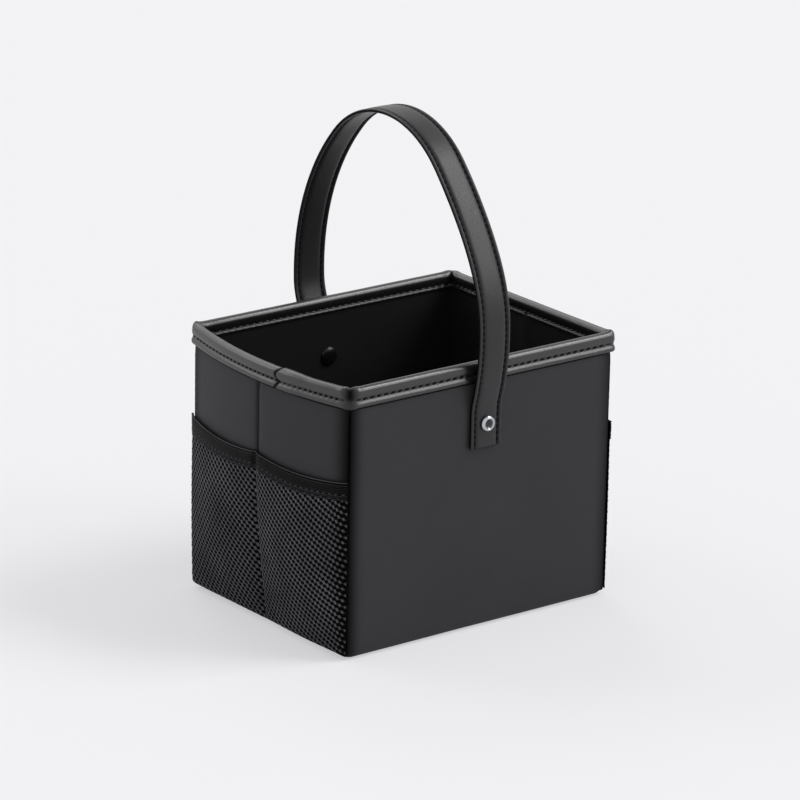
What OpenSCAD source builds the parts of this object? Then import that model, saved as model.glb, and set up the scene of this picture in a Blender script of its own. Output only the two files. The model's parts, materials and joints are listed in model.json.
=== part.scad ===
/* [Box] */
// Outside width of the box, left to right
box_w = 195; // [170:1:230]
// Outside depth of the box, front to back
box_d = 154; // [140:1:180]
// Height from the base to the top of the rim
box_h = 164; // [145:1:200]
// Outside radius of the bend between base and front or back
bend_r = 6; // [4.5:0.5:9]

/* [Wall layers] */
// Thickness of the leatherette with its foam backing
skin_t = 2; // [1.6:0.1:2.6]
// Thickness of the stiffening boards
board_t = 1.6; // [1:0.1:2.2]
// Thickness of the lining cloth
lining_t = 0.6; // [0.4:0.1:1]
// How far from a seam the padding starts to round off
pad_run = 8; // [5:0.5:12]
// How deep a seam pulls the padding in
pad_drop = 1.3; // [0.6:0.1:1.4]
// How deep the fold crease of a side wall is
crease_drop = 1; // [0.4:0.1:1.2]
// How far from the fold crease the padding starts to round off
crease_run = 6; // [3:0.5:9]
// Gap between the two boards of a side wall, at the fold crease
crease_gap = 3; // [1.5:0.5:6]

/* [Base insert] */
// Thickness of the loose covered board
insert_t = 2.6; // [1.5:0.1:4]
// Gap between the loose board and the side walls' lining
insert_gap = 1.5; // [0.8:0.1:3]
// Corner radius of the loose board
insert_r = 5; // [2:0.5:10]

/* [Rim binding] */
// Thickness of the binding strip
binding_t = 0.9; // [0.7:0.1:1.3]
// Height of the binding on the outside
binding_out = 11.5; // [9:0.5:15]
// Height of the binding on the inside
binding_in = 10; // [9:0.5:14]
// Distance from the top of the rim to the stitch row
binding_stitch = 7; // [6:0.5:8]
// Depth of the channel that the stitch row pulls in
stitch_drop = 0.5; // [0.2:0.1:0.6]
// Half width of the channel that the stitch row pulls in
stitch_run = 1.5; // [0.8:0.1:2]
// Corner radius of the rim seen from above
rim_corner_r = 3; // [1.5:0.5:5]
// How far in front of the fold crease the binding's ends overlap
lap_at = 10; // [6:1:20]
// Length of the overlap of the binding's ends
lap_len = 14; // [8:1:20]
// Extra thickness at the overlap of the binding's ends
lap_t = 0.4; // [0.2:0.1:0.6]

/* [Side pockets] */
// Height of the pocket's mouth at its seams
pocket_top = 107; // [80:1:125]
// Height of the mesh's lower edge
pocket_bottom = 3.5; // [2.5:0.5:8]
// How far the middle of each compartment stands out at the mouth
pocket_bulge = 6.2; // [5.6:0.2:9]
// How far the mouth sags in the middle of each compartment
pocket_sag = 2.5; // [0:0.5:6]
// Height of the elastic band
band_h = 10.5; // [8:0.5:14]
// Thickness of the elastic band
band_t = 1.6; // [1.2:0.1:2.2]
// Thickness of the mesh between its ribs
mesh_t = 0.7; // [0.5:0.1:1]
// How far the mesh's ribs stand out
rib_rise = 0.5; // [0.2:0.1:0.8]
// Share of a mesh cell that is open
cell_open_share = 0.56; // [0.4:0.02:0.7]

/* [Handle] */
// Width of the strap
strap_w = 22.5; // [20:0.5:30]
// Full thickness of the strap between its stitch rows
strap_t = 2.6; // [2.2:0.1:3.2]
// Distance of a stitch row from the strap's edge
strap_stitch = 3; // [2.4:0.2:4]
// Height of the strap's top above the rim
handle_rise = 131; // [110:1:150]
// How far the arch stands out past the front and back walls
handle_splay = 9; // [7:0.5:11]
// Height above the rim at which the arch is widest
spring_rise = 14; // [10:1:20]
// Outside radius of the arch's crown
crown_r = 66; // [58:1:69]
// Radius of the bend where each leg leaves the wall
foot_r = 30; // [20:1:40]

/* [Rivets] */
// Distance from the top of the rim down to the rivets
rivet_down = 37; // [32:1:45]
// Distance from a rivet to the end of the strap
strap_end = 14.7; // [10:0.5:20]
// Radius of the rivet's shank
shank_r = 2; // [1.5:0.1:2.5]
// Radius of the rivet's outer cap
cap_r = 4.9; // [4:0.1:6]
// Height of the rivet's outer cap
cap_h = 2.3; // [1.8:0.1:3]
// Radius of the rivet's inner cap
inner_cap_r = 6; // [5:0.5:7.5]
// Height of the rivet's inner cap
inner_cap_h = 2.2; // [1.8:0.1:3]

/* [Hidden] */
// Running clearance of the strap round a shank
run_clear = 0.05;
// Clearance of a shank in the layers that it clamps
fit_clear = 0.02;
// Gap that lets the strap swing past the wall and under the cap
swing_gap = 0.3;
// Gap between the mesh or the elastic and the wall behind it
lay_gap = 0.2;
// How far the mesh dips below the wall's plane where a seam holds it
seam_dip = 0.15;
// Glue line between two layers of the strap
glue_gap = 0.04;
// Thickness of a leatherette layer of the strap
layer_t = 0.8;
// Gap between the strap and a rivet's cap
cap_gap = 0.15;
// How far a shank reaches into its inner cap
shank_in = 1.2;
// Distance of the pocket's ends from the corner seams
seam_in = 0.4;
// Gap between the loose board and the folded lower edges of the lining
flat_gap = 0.4;
// Steps in a rounded corner
corner_steps = 8;
// Steps in the strap's foot bends, sides and crown
foot_steps = 3;
side_steps = 11;
crown_steps = 13;
// Steps in the rounded run of padding beside a seam
pad_steps = 6;
// Steps in the rolled top of the binding
roll_steps = 14;
// Mesh cells along the pocket and up it
cell_count_along = 10;
cell_count_up = 7;
// How far cutting shapes reach past what they cut
over = 1;
$fn = 64;

hw = box_w / 2;
hd = box_d / 2;
wall_t = skin_t + board_t + lining_t;
wall_top = box_h - 2 * binding_t;
roll_r = wall_t / 2 + binding_t;
rivet_z = box_h - rivet_down;
grid_y = 2 * cell_count_along;
grid_z = 2 * cell_count_up;
pocket_half = hd - pad_drop - seam_in;
cavity_x = hw - skin_t - board_t;
cavity_y = hd - skin_t - board_t;
fold_r = bend_r - skin_t;

// Strap, measured to the middle of its thickness
arch_half = hd + handle_splay - strap_t / 2;
crown_mid = crown_r - strap_t / 2;
spring_z = box_h + spring_rise;
crown_z = box_h + handle_rise - crown_r;
side_r = (pow(arch_half, 2) + pow(crown_z - spring_z, 2) - pow(crown_mid, 2)) / (2 * (arch_half - crown_mid));
side_y = arch_half - side_r;
crown_turn = atan2(crown_z - spring_z, -side_y);
tab_y = hd + swing_gap + strap_t / 2;
foot_turn = acos(1 - (arch_half - tab_y) / (foot_r + side_r));
foot_z = spring_z - (side_r + foot_r) * sin(foot_turn);
stitch_x = strap_w / 2 - strap_stitch;
filler_half = strap_t / 2 - layer_t;
under_cap = swing_gap + strap_t + cap_gap;

leatherette = "#303032";
leatherette_side = "#2c2c2e";
lining_black = "#141416";
board_grey = "#8c8880";
mesh_black = "#1c1c1e";
elastic_black = "#222224";
chrome = "#c8cacd";
cap_black = "#1a1a1c";

// Depth of the padding's outer face at distance s from the edge of a panel
function pad_depth(s) =
    s >= pad_run ? 0 : pad_drop * pow((pad_run - s) / (pad_run - pad_drop), 2);

// Depth of the fold crease at distance y from the middle of a side wall
function crease_depth(y) =
    abs(y) >= crease_run ? 0 : crease_drop * pow(1 - abs(y) / crease_run, 2);

// Outer face beside a seam, as [distance from the edge, depth]
pad_edge = [for (i = [0 : pad_steps])
    let (s = pad_drop + (pad_run - pad_drop) * i / pad_steps) [s, pad_depth(s)]];

// Outer face across the fold crease, as [distance from the middle, depth]
crease_line = [for (i = [-pad_steps : pad_steps])
    let (y = crease_run * i / pad_steps) [y, crease_depth(y)]];

// Points along an arc round centre c
function arc(c, r, from, to, steps) =
    [for (i = [0 : steps]) let (a = from + (to - from) * i / steps) c + r * [cos(a), sin(a)]];

// The same points with their two coordinates exchanged
function flip(points) = [for (p = points) [p[1], p[0]]];

// Section across a panel of half width h, as [place along it, depth from its outer face], ends mitred
function panel_points(h, middle = []) = concat(
    [for (p = pad_edge) [p[0] - h, p[1]]],
    middle,
    [for (i = [pad_steps : -1 : 0]) [h - pad_edge[i][0], pad_edge[i][1]]],
    [[h - skin_t, skin_t], [skin_t - h, skin_t]]);

// Rectangle with round corners, of half sizes a and b
function round_rect(a, b, r) = concat(
    arc([a - r, b - r], r, 0, 90, corner_steps),
    arc([r - a, b - r], r, 90, 180, corner_steps),
    arc([r - a, r - b], r, 180, 270, corner_steps),
    arc([a - r, r - b], r, 270, 360, corner_steps));

// Hole through the front and back walls for the rivets' shanks
module shank_holes(r) {
    translate([0, 0, rivet_z]) rotate([90, 0, 0])
        cylinder(r = r, h = 2 * (hd + under_cap), center = true);
}

module outer_wrap() {
    color(leatherette) difference() {
        union() {
            for (side = [0, 1]) mirror([0, side, 0]) {
                translate([0, hd, bend_r]) mirror([0, 1, 0])
                    linear_extrude(wall_top - bend_r) polygon(panel_points(hw));
                translate([0, hd - bend_r, bend_r]) rotate([0, 90, 0]) rotate_extrude(angle = 90)
                    polygon([for (p = panel_points(hw)) [bend_r - p[1], p[0]]]);
            }
            translate([0, hd - bend_r, 0]) rotate([90, 0, 0])
                linear_extrude(box_d - 2 * bend_r) polygon(panel_points(hw));
        }
        shank_holes(shank_r + fit_clear);
    }
}

// Left side wall's leatherette, mitred to the wrap down both corners and along the base
module side_panel() {
    difference() {
        translate([-hw, 0, 0]) intersection() {
            linear_extrude(wall_top) polygon(flip(panel_points(hd, crease_line)));
            rotate([90, 0, 0]) linear_extrude(box_d, center = true)
                polygon(concat(flip(pad_edge), [[0, wall_top], [skin_t, wall_top], [skin_t, skin_t]]));
        }
        for (side = [0, 1]) mirror([0, side, 0]) bottom_corner_cut();
    }
}

// What the wrap's bend leaves no room for at a bottom corner of the side wall
module bottom_corner_cut() {
    difference() {
        translate([-hw - over, hd - bend_r, -over])
            cube([skin_t + 2 * over, bend_r + over, bend_r + over]);
        translate([-hw - over, hd - bend_r, bend_r]) rotate([0, 90, 0])
            cylinder(r1 = bend_r + over, r2 = bend_r - skin_t - over, h = skin_t + 2 * over);
    }
}

module left_side_panel() {
    color(leatherette_side) side_panel();
}

module right_side_panel() {
    color(leatherette_side) mirror([1, 0, 0]) side_panel();
}

// Board of the back wall, from the bend up into the binding
module flat_board() {
    difference() {
        translate([-cavity_x, cavity_y, bend_r]) cube([2 * cavity_x, board_t, wall_top - bend_r]);
        shank_holes(shank_r + fit_clear);
    }
}

module front_board() {
    color(board_grey) mirror([0, 1, 0]) flat_board();
}

module back_board() {
    color(board_grey) flat_board();
}

// Rear board of the left wall, from the corner to the fold crease
module half_board() {
    translate([-hw + skin_t, crease_gap / 2, bend_r])
        cube([board_t, cavity_y - crease_gap / 2, wall_top - bend_r]);
}

module left_front_board() {
    color(board_grey) mirror([0, 1, 0]) half_board();
}

module left_rear_board() {
    color(board_grey) half_board();
}

module right_front_board() {
    color(board_grey) mirror([1, 0, 0]) mirror([0, 1, 0]) half_board();
}

module right_rear_board() {
    color(board_grey) mirror([1, 0, 0]) half_board();
}

// Bag-shaped block of half sizes a and b with its bottom edges folded at radius r
module bag(a, b, bottom, r, top) {
    rotate([90, 0, 90]) linear_extrude(2 * a, center = true)
        polygon(concat([[b, top], [-b, top]],
            arc([r - b, bottom + r], r, 180, 270, corner_steps),
            arc([b - r, bottom + r], r, 270, 360, corner_steps)));
}

module lining() {
    color(lining_black) difference() {
        bag(cavity_x, cavity_y, skin_t, fold_r, wall_top);
        bag(cavity_x - lining_t, cavity_y - lining_t, skin_t + lining_t, fold_r - lining_t, wall_top + over);
        shank_holes(shank_r + fit_clear);
    }
}

// Loose covered board on the flat of the base
module base_insert() {
    color(lining_black) translate([0, 0, skin_t + lining_t]) linear_extrude(insert_t)
        polygon(round_rect(cavity_x - lining_t - insert_gap, cavity_y - fold_r - flat_gap, insert_r));
}

// Section of the binding, as [depth from the wall's outer face, height], grown outwards by extra
function binding_points(extra) =
    let (out = binding_t + extra, row = box_h - binding_stitch)
    concat(
        [[0, box_h - binding_out], [0, wall_top], [wall_t, wall_top], [wall_t, box_h - binding_in],
            [wall_t + out, box_h - binding_in], [wall_t + out, row - stitch_run],
            [wall_t + out - stitch_drop, row], [wall_t + out, row + stitch_run]],
        arc([wall_t / 2, box_h - roll_r], roll_r + extra, 0, 180, roll_steps),
        [[-out, row + stitch_run], [stitch_drop - out, row], [-out, row - stitch_run],
            [-out, box_h - binding_out]]);

// One straight run of the binding along X, mitred at both ends, in front of the middle by reach
module binding_run(half, reach) {
    wide = binding_t + over;
    deep = wall_t + binding_t + over;
    intersection() {
        rotate([90, 0, 90]) linear_extrude(2 * (half + binding_t), center = true)
            polygon([for (p = binding_points(0)) [p[0] - reach, p[1]]]);
        translate([0, 0, box_h - binding_out - over]) linear_extrude(binding_out + 2 * over)
            polygon([[-half - wide, -reach - wide], [half + wide, -reach - wide],
                [half - deep, deep - reach], [deep - half, deep - reach]]);
    }
}

module rim_binding() {
    color(leatherette) {
        intersection() {
            for (turn = [0, 180]) {
                rotate(turn) binding_run(hw, hd);
                rotate(turn + 90) binding_run(hd, hw);
            }
            linear_extrude(box_h + over)
                polygon(round_rect(hw + binding_t, hd + binding_t, rim_corner_r));
        }
        translate([-hw, -lap_at, 0]) rotate([90, 0, 0]) linear_extrude(lap_len)
            polygon(binding_points(lap_t));
    }
}

// Share of a compartment's bulge at distance y from the middle seam
function swell(y) = sin(180 * abs(y) / pocket_half);

// Height of the pocket's mouth
function mouth(y) = pocket_top - pocket_sag * swell(y);

// How far the back of the mesh or band stands out from the side of the box
function pocket_back(y, z) = (swell(y) < 0.01 ? -seam_dip : lay_gap)
    + pocket_bulge * swell(y) * pow(max(0, z - pocket_bottom) / (pocket_top - pocket_bottom), 0.9);

// Place along the pocket of grid column k
function grid_place(k) = pocket_half * (2 * k / grid_y - 1);

// Point of the mesh at grid place k, l, standing out from the mesh's back by out
function mesh_point(k, l, out) =
    let (y = grid_place(k), z = pocket_bottom + (mouth(y) - band_h - pocket_bottom) * l / grid_z)
    [-hw - pocket_back(y, z) - out, y, z];

// The four ways from a cell's middle to its corners, clockwise from outside
ways = [[0, 1], [-1, 0], [0, -1], [1, 0]];

// The open cells: all the diamonds away from the edges and the middle seam
open_cells = [for (k = [1 : grid_y - 1]) for (l = [1 : grid_z - 1])
    if ((k + l) % 2 == 0 && k != cell_count_along) [k, l]];

// The closed cells: those cut by the edges and those on the middle seam
closed_cells = [for (k = [0 : grid_y]) for (l = [0 : grid_z])
    if ((k + l) % 2 == 0 && (k == 0 || k == grid_y || l == 0 || l == grid_z || k == cell_count_along)) [k, l]];

// Grid points round the edge of the mesh, clockwise from outside
mesh_edge = concat(
    [for (k = [grid_y : -1 : 1]) [k, grid_z]], [for (l = [grid_z : -1 : 1]) [0, l]],
    [for (k = [0 : grid_y - 1]) [k, 0]], [for (l = [0 : grid_z - 1]) [grid_y, l]]);

// Number of a grid point among the mesh's points
function grid_number(k, l) = k * (grid_z + 1) + l;

// A four-sided face as two triangles
function two(a, b, c, d) = [[a, b, c], [a, c, d]];

// Knitted mesh as a lattice of ridged diagonal ribs with diamond gaps between them
module pocket_mesh() {
    grid_count = (grid_y + 1) * (grid_z + 1);
    corner_count = 4 * len(open_cells);
    back = grid_count + corner_count;
    points = concat(
        [for (k = [0 : grid_y]) for (l = [0 : grid_z])
            mesh_point(k, l, mesh_t + ((k + l) % 2) * rib_rise)],
        [for (c = open_cells) for (w = ways)
            mesh_point(c[0] + w[0] * cell_open_share, c[1] + w[1] * cell_open_share, mesh_t)],
        [for (k = [0 : grid_y]) for (l = [0 : grid_z]) mesh_point(k, l, 0)],
        [for (c = open_cells) for (w = ways)
            mesh_point(c[0] + w[0] * cell_open_share, c[1] + w[1] * cell_open_share, 0)]);
    ribs = [for (i = [0 : len(open_cells) - 1]) for (m = [0 : 3])
        let (c = open_cells[i], n = (m + 1) % 4,
            a = grid_number(c[0] + ways[m][0], c[1] + ways[m][1]),
            b = grid_number(c[0] + ways[n][0], c[1] + ways[n][1]),
            p = grid_count + 4 * i + m, q = grid_count + 4 * i + n)
        each concat(two(a, b, q, p), two(p + back, q + back, b + back, a + back), two(p, q, q + back, p + back))];
    fills = [for (c = closed_cells) for (m = [0 : 3])
        let (n = (m + 1) % 4, from = c + ways[m], to = c + ways[n])
        if (min(from[0], to[0], from[1], to[1]) >= 0 && max(from[0], to[0]) <= grid_y
            && max(from[1], to[1]) <= grid_z)
            let (o = grid_number(c[0], c[1]), a = grid_number(from[0], from[1]), b = grid_number(to[0], to[1]))
            each [[o, a, b], [o + back, b + back, a + back]]];
    walls = [for (i = [0 : len(mesh_edge) - 1])
        let (from = mesh_edge[i], to = mesh_edge[(i + 1) % len(mesh_edge)],
            a = grid_number(from[0], from[1]), b = grid_number(to[0], to[1]))
        each two(b, a, a + back, b + back)];
    polyhedron(points, concat(ribs, fills, walls));
}

// Section of the elastic band, as [share of its height, share of its thickness], back face first
band_section = [[1, 0], [0, 0], [0, 1], [0.18, 1], [0.24, 0.72], [0.3, 1], [0.68, 1], [0.72, 0.86],
    [0.76, 1], [0.8, 0.86], [0.84, 1], [0.94, 1], [1, 0.7]];

// Elastic band folded over the top of the mesh
module pocket_band() {
    n = len(band_section);
    points = [for (k = [0 : grid_y]) for (s = band_section)
        let (y = grid_place(k), z = mouth(y) + (s[0] - 1) * band_h)
        [-hw - pocket_back(y, z) - s[1] * band_t, y, z]];
    sides = [for (k = [0 : grid_y - 1]) for (i = [0 : n - 1])
        let (j = (i + 1) % n)
        each two(k * n + i, k * n + j, (k + 1) * n + j, (k + 1) * n + i)];
    polyhedron(points, concat(sides,
        [[for (i = [n - 1 : -1 : 0]) i], [for (i = [0 : n - 1]) grid_y * n + i]]));
}

module left_pocket_mesh() {
    color(mesh_black) pocket_mesh();
}

module left_pocket_band() {
    color(elastic_black) pocket_band();
}

module right_pocket_mesh() {
    color(mesh_black) mirror([1, 0, 0]) pocket_mesh();
}

module right_pocket_band() {
    color(elastic_black) mirror([1, 0, 0]) pocket_band();
}

// The strap's middle line up its back leg, as [y, z, way that its outer face looks]
leg_line = concat(
    [[tab_y, rivet_z - strap_end, 0]],
    [for (i = [0 : foot_steps - 1]) let (a = foot_turn * i / foot_steps)
        [tab_y + foot_r * (1 - cos(a)), foot_z + foot_r * sin(a), -a]],
    [for (i = [0 : side_steps - 1]) let (a = -foot_turn + (crown_turn + foot_turn) * i / side_steps)
        [side_y + side_r * cos(a), spring_z + side_r * sin(a), a]]);

// The whole line, from the back end over the top to the front end
strap_line = concat(
    leg_line,
    [for (i = [0 : crown_steps]) let (a = crown_turn + (180 - 2 * crown_turn) * i / crown_steps)
        [crown_mid * cos(a), crown_z + crown_mid * sin(a), a]],
    [for (i = [len(leg_line) - 1 : -1 : 0]) [-leg_line[i][0], leg_line[i][1], 180 - leg_line[i][2]]]);

// Sweeps a closed section of [distance out, distance across] along the strap and drills both its ends
module along_strap(section) {
    n = len(section);
    last = len(strap_line) - 1;
    difference() {
        polyhedron(
            [for (s = strap_line) for (p = section) [p[1], s[0] + p[0] * cos(s[2]), s[1] + p[0] * sin(s[2])]],
            concat(
                [for (k = [0 : last - 1]) for (i = [0 : n - 1]) let (j = (i + 1) % n)
                    each two(k * n + i, (k + 1) * n + i, (k + 1) * n + j, k * n + j)],
                [[for (i = [0 : n - 1]) i], [for (i = [n - 1 : -1 : 0]) last * n + i]]));
        shank_holes(shank_r + run_clear);
    }
}

// Half of the outer layer's section, as [distance out, distance across], from the middle to the edge
layer_half = [[strap_t / 2, stitch_x - 1.6], [layer_t * 0.85, stitch_x - 0.5], [layer_t * 0.75, stitch_x],
    [layer_t * 0.95, stitch_x + 0.6], [layer_t * 1.1, strap_w / 2 - 1], [layer_t * 0.8, strap_w / 2 - 0.3],
    [layer_t * 0.35, strap_w / 2], [glue_gap / 2, strap_w / 2], [glue_gap / 2, stitch_x],
    [filler_half, stitch_x - 1.4]];

// Section of one leatherette layer: full in the middle and drawn in along both stitch rows
layer_section = concat(layer_half,
    [for (i = [len(layer_half) - 1 : -1 : 0]) [layer_half[i][0], -layer_half[i][1]]]);

// Section of the filler, which thins out towards both stitch rows
filler_section =
    let (high = filler_half - glue_gap, far = stitch_x - 0.3, near = stitch_x - 1.5)
    [[0, far], [-high, near], [-high, -near], [0, -far], [high, -near], [high, near]];

module handle_outer_layer() {
    color(leatherette) along_strap(layer_section);
}

module handle_inner_layer() {
    color(leatherette) along_strap(
        [for (i = [len(layer_section) - 1 : -1 : 0]) [-layer_section[i][0], layer_section[i][1]]]);
}

module handle_filler() {
    color(board_grey) along_strap(filler_section);
}

// Turns a profile of [radius, distance out from the back wall] about the rivet's line
module at_back_rivet() {
    translate([0, hd, rivet_z]) rotate([-90, 0, 0]) rotate_extrude() children();
}

// Shank and domed cap with a dished middle
module rivet() {
    dish_r = cap_r * 0.56;
    rim = cap_h * 0.2;
    at_back_rivet() polygon(concat(
        [[0, -wall_t - shank_in], [shank_r, -wall_t - shank_in], [shank_r, under_cap], [cap_r, under_cap]],
        [for (a = [0 : 15 : 90]) [dish_r + (cap_r - dish_r) * cos(a), under_cap + rim + (cap_h - rim) * sin(a)]],
        [[dish_r * 0.7, under_cap + cap_h * 0.78], [0, under_cap + cap_h * 0.7]]));
}

// Inner cap pressed on the end of the shank
module rivet_cap() {
    bore = shank_r + fit_clear;
    end = -wall_t - shank_in - fit_clear;
    at_back_rivet() polygon(concat(
        [[0, end], [bore, end], [bore, -wall_t]],
        [for (a = [0 : 15 : 90]) [inner_cap_r * cos(a * 0.9), -wall_t - inner_cap_h * (0.25 + 0.75 * sin(a))]],
        [[0, -wall_t - inner_cap_h]]));
}

module front_rivet() {
    color(chrome) mirror([0, 1, 0]) rivet();
}

module back_rivet() {
    color(chrome) rivet();
}

module front_rivet_cap() {
    color(cap_black) mirror([0, 1, 0]) rivet_cap();
}

module back_rivet_cap() {
    color(cap_black) rivet_cap();
}

outer_wrap();
left_side_panel();
right_side_panel();
front_board();
back_board();
left_front_board();
left_rear_board();
right_front_board();
right_rear_board();
lining();
base_insert();
rim_binding();
left_pocket_mesh();
left_pocket_band();
right_pocket_mesh();
right_pocket_band();
handle_outer_layer();
handle_filler();
handle_inner_layer();
front_rivet();
back_rivet();
front_rivet_cap();
back_rivet_cap();
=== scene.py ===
"""Car storage box: padded leatherette walls, stitched rim, mesh side pockets and a riveted strap."""

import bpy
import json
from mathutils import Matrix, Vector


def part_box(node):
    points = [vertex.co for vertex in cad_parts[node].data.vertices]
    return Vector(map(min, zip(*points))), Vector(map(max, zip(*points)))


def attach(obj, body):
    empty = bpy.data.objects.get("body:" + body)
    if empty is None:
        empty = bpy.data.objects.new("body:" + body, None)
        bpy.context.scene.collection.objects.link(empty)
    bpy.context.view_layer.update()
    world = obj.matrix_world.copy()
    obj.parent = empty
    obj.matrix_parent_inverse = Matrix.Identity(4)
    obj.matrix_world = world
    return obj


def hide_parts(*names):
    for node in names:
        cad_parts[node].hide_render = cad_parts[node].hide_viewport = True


bl_info = {
    "name": "Car Storage Box",
    "version": (1, 0, 0),
    "blender": (4, 5, 0),
    "location": "View3D > Sidebar > Storage Box",
    "description": "Sews, stitches and rivets a leatherette storage box for a car",
    "category": "Add Mesh",
}

import json
from collections import namedtuple
from math import acos, atan2, ceil, cos, pi, radians, sin, sqrt

import bmesh
import bpy
import numpy as np
from bpy.props import FloatProperty, PointerProperty, StringProperty
from bpy.types import Operator, Panel, PropertyGroup
from mathutils import Matrix, Vector

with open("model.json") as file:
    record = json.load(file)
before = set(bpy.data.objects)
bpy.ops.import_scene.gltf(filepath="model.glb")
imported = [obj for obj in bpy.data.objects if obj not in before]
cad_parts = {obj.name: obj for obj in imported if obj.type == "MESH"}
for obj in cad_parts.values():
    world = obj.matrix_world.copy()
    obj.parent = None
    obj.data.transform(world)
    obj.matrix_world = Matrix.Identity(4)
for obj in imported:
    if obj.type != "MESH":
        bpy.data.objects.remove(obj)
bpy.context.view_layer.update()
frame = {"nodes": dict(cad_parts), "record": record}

MM = 0.001

# Places that come from the frame
HALF_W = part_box("right_side_panel")[1].x
HALF_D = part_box("outer_wrap")[1].y
RIM_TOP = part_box("rim_binding")[1].z
RIM_OUT_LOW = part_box("rim_binding")[0].z
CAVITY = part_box("lining")[1]
BAND_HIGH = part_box("left_pocket_band")[1]
MESH_LOW, MESH_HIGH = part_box("left_pocket_mesh")
STRAP_LOW, STRAP_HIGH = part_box("handle_outer_layer")
INSERT_LOW, INSERT_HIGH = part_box("base_insert")
RIVET_Z = (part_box("back_rivet")[0].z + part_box("back_rivet")[1].z) / 2

# Walls, from the outer face inwards
SKIN_T = 2.0 * MM
BOARD_T = 1.6 * MM
LINING_T = 0.6 * MM
WALL_T = SKIN_T + BOARD_T + LINING_T
SKIN_BACK = SKIN_T + 0.3 * MM
BEND_R = 6.0 * MM

# Sides of the box, as the sign of x
LEFT, RIGHT = -1, 1

# Padding, which sinks to the seams and puckers beside them. A RUN is a width and a DROP or DEEP a depth
PAD_RUN = 8.5 * MM
PAD_DROP = 1.6 * MM
PAD_POWER = 2.3
SEAM_DEEP = 1.6 * MM
SEAM_GAP = 0.2 * MM
TUCK_RUN = 7.0 * MM
TUCK_DROP = 0.7 * MM
PUCKER_RUN = 6.0 * MM
PUCKER_PITCH = 5.2 * MM
FOAM_CALM = 14.0 * MM
# Widths of the painted shade beside the corner seams of the wrap and of the side walls, and half the width of
# the painted shade along a side wall's fold crease
FRONT_SEAM_SHADE_RUN = 11.0 * MM
SIDE_SEAM_SHADE_RUN = 13.0 * MM
CREASE_SHADE_HALF = 1.2 * MM

# Rim binding
BINDING_T = 0.9 * MM
BINDING_IN = 10.0 * MM
STITCH_DOWN = 7.3 * MM
STITCH_ROW = RIM_TOP - STITCH_DOWN
RIM_IN_LOW = RIM_TOP - BINDING_IN
ROLL_R = WALL_T / 2 + BINDING_T
RIM_CORNER_R = 3.2 * MM
# Its corners are numbered front right, back right, back left, front left, and its runs right, back, left,
# front
RIM_RUNS = (2 * HALF_D, 2 * HALF_W, 2 * HALF_D, 2 * HALF_W)
BACK_LEFT, LEFT_RUN = 2, 2
GATHERED_CORNERS = (1, 3)
# Where its upper end is cut on the left rim, and how it sinks back to one layer behind that
LAP_Y = -22.5 * MM
LAP_LEN = 24.0 * MM
LAP_FADE = 18.0 * MM
LAP_ARC = 3.0 * MM
# Heights of the walls just under it, and the height and fade of the painted shade in the crevice that its
# lower edge leaves
WALL_TOP = RIM_TOP - 2 * BINDING_T
NEAR_RIM = RIM_OUT_LOW - 3.0 * MM
UNDER_RIM = RIM_OUT_LOW + 1.0 * MM
CREVICE_SHADE = 1.4 * MM
CREVICE_SHADE_FADE = 0.6 * MM

# Side pockets
POCKET_HALF = HALF_D - 0.9 * MM
POCKET_BULGE = 4.6 * MM
MOUTH_SAG = 2.6 * MM
BAND_DEEP = 9.8 * MM
BAND_STITCH_DOWN = 7.6 * MM
MESH_ROWS = 170
MESH_COLUMN = 0.58 * MM

# Strap, measured to the middle of its thickness as the frame's strap is
STRAP_T = 2.6 * MM
STRAP_STITCH = 3.0 * MM
SPRING_RISE = 14.0 * MM
CROWN_R = 66.0 * MM
FOOT_R = 30.0 * MM
SWING_GAP = 0.3 * MM
STRAP_HALF = STRAP_HIGH.x
STRAP_ROW = STRAP_HALF - STRAP_STITCH
STRAP_FLAT = 0.85 * MM
# Where each leg's lean starts and over what height it grows: the back leg's at its rivet, the front leg's
# only above the place that passes over the rim when the strap swings
LEAN_BACK = (RIVET_Z, 45 * MM)
LEAN_FRONT = (RIM_TOP + 26 * MM, 80 * MM)

# Soft unevenness is a sum of a few tilted waves
WAVES = 7
WAVE_SPREAD = 2.4


def hex_property(name, description, default):
    """A colour that is typed as six sRGB hex digits."""
    return StringProperty(name=name, description=description, default=default, maxlen=6)


def length_property(name, description, default_mm, low_mm, high_mm):
    """A length in metres with its default and limits given in millimetres."""
    return FloatProperty(name=name, description=description, default=default_mm * MM, min=low_mm * MM,
                         max=high_mm * MM, unit="LENGTH", precision=4)


class BoxColours(PropertyGroup):
    """Colours of the box's materials, as sRGB hex."""

    leather: hex_property("Leatherette", "Padded walls", "353537")
    binding: hex_property("Binding", "Strip that is folded over the rim", "18181A")
    strap: hex_property("Strap", "Both faces of the carrying strap", "202022")
    cloth: hex_property("Lining", "Woven cloth inside the box", "121214")
    # Painted sheen: the black yarn is drawn mid grey for the shine of its filaments, and its gloss is kept
    # low
    mesh: hex_property("Pocket mesh", "Knitted yarn of the side pockets", "5E5E62")
    elastic: hex_property("Elastic", "Band at the pockets' mouth", "48484B")
    thread: hex_property("Thread", "Sewing thread of rim and strap", "060607")
    # Painted highlight: the inner stitches are the same black thread, painted lighter for the light that they
    # catch
    under_thread: hex_property("Under thread", "Waxed thread of the rim's inner stitches", "4C4C4F")
    band_thread: hex_property("Band thread", "Sewing thread of the elastic band", "4A4A4D")
    board: hex_property("Board", "Stiffening board inside the walls", "8C8880")
    chrome: hex_property("Chrome", "Plated outer caps of the rivets", "C2C3C8")
    enamel: hex_property("Enamel", "Painted inner caps of the rivets", "0C0C0D")
    # Painted shade: near black standing for the shade seen through the knit's gaps and in the elastic's
    # valleys
    gap: hex_property("Mesh gap", "What the eye sees in the gaps between the yarns", "050506")
    floor: hex_property("Floor", "Floor and backdrop", "F3F3F5")


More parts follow.
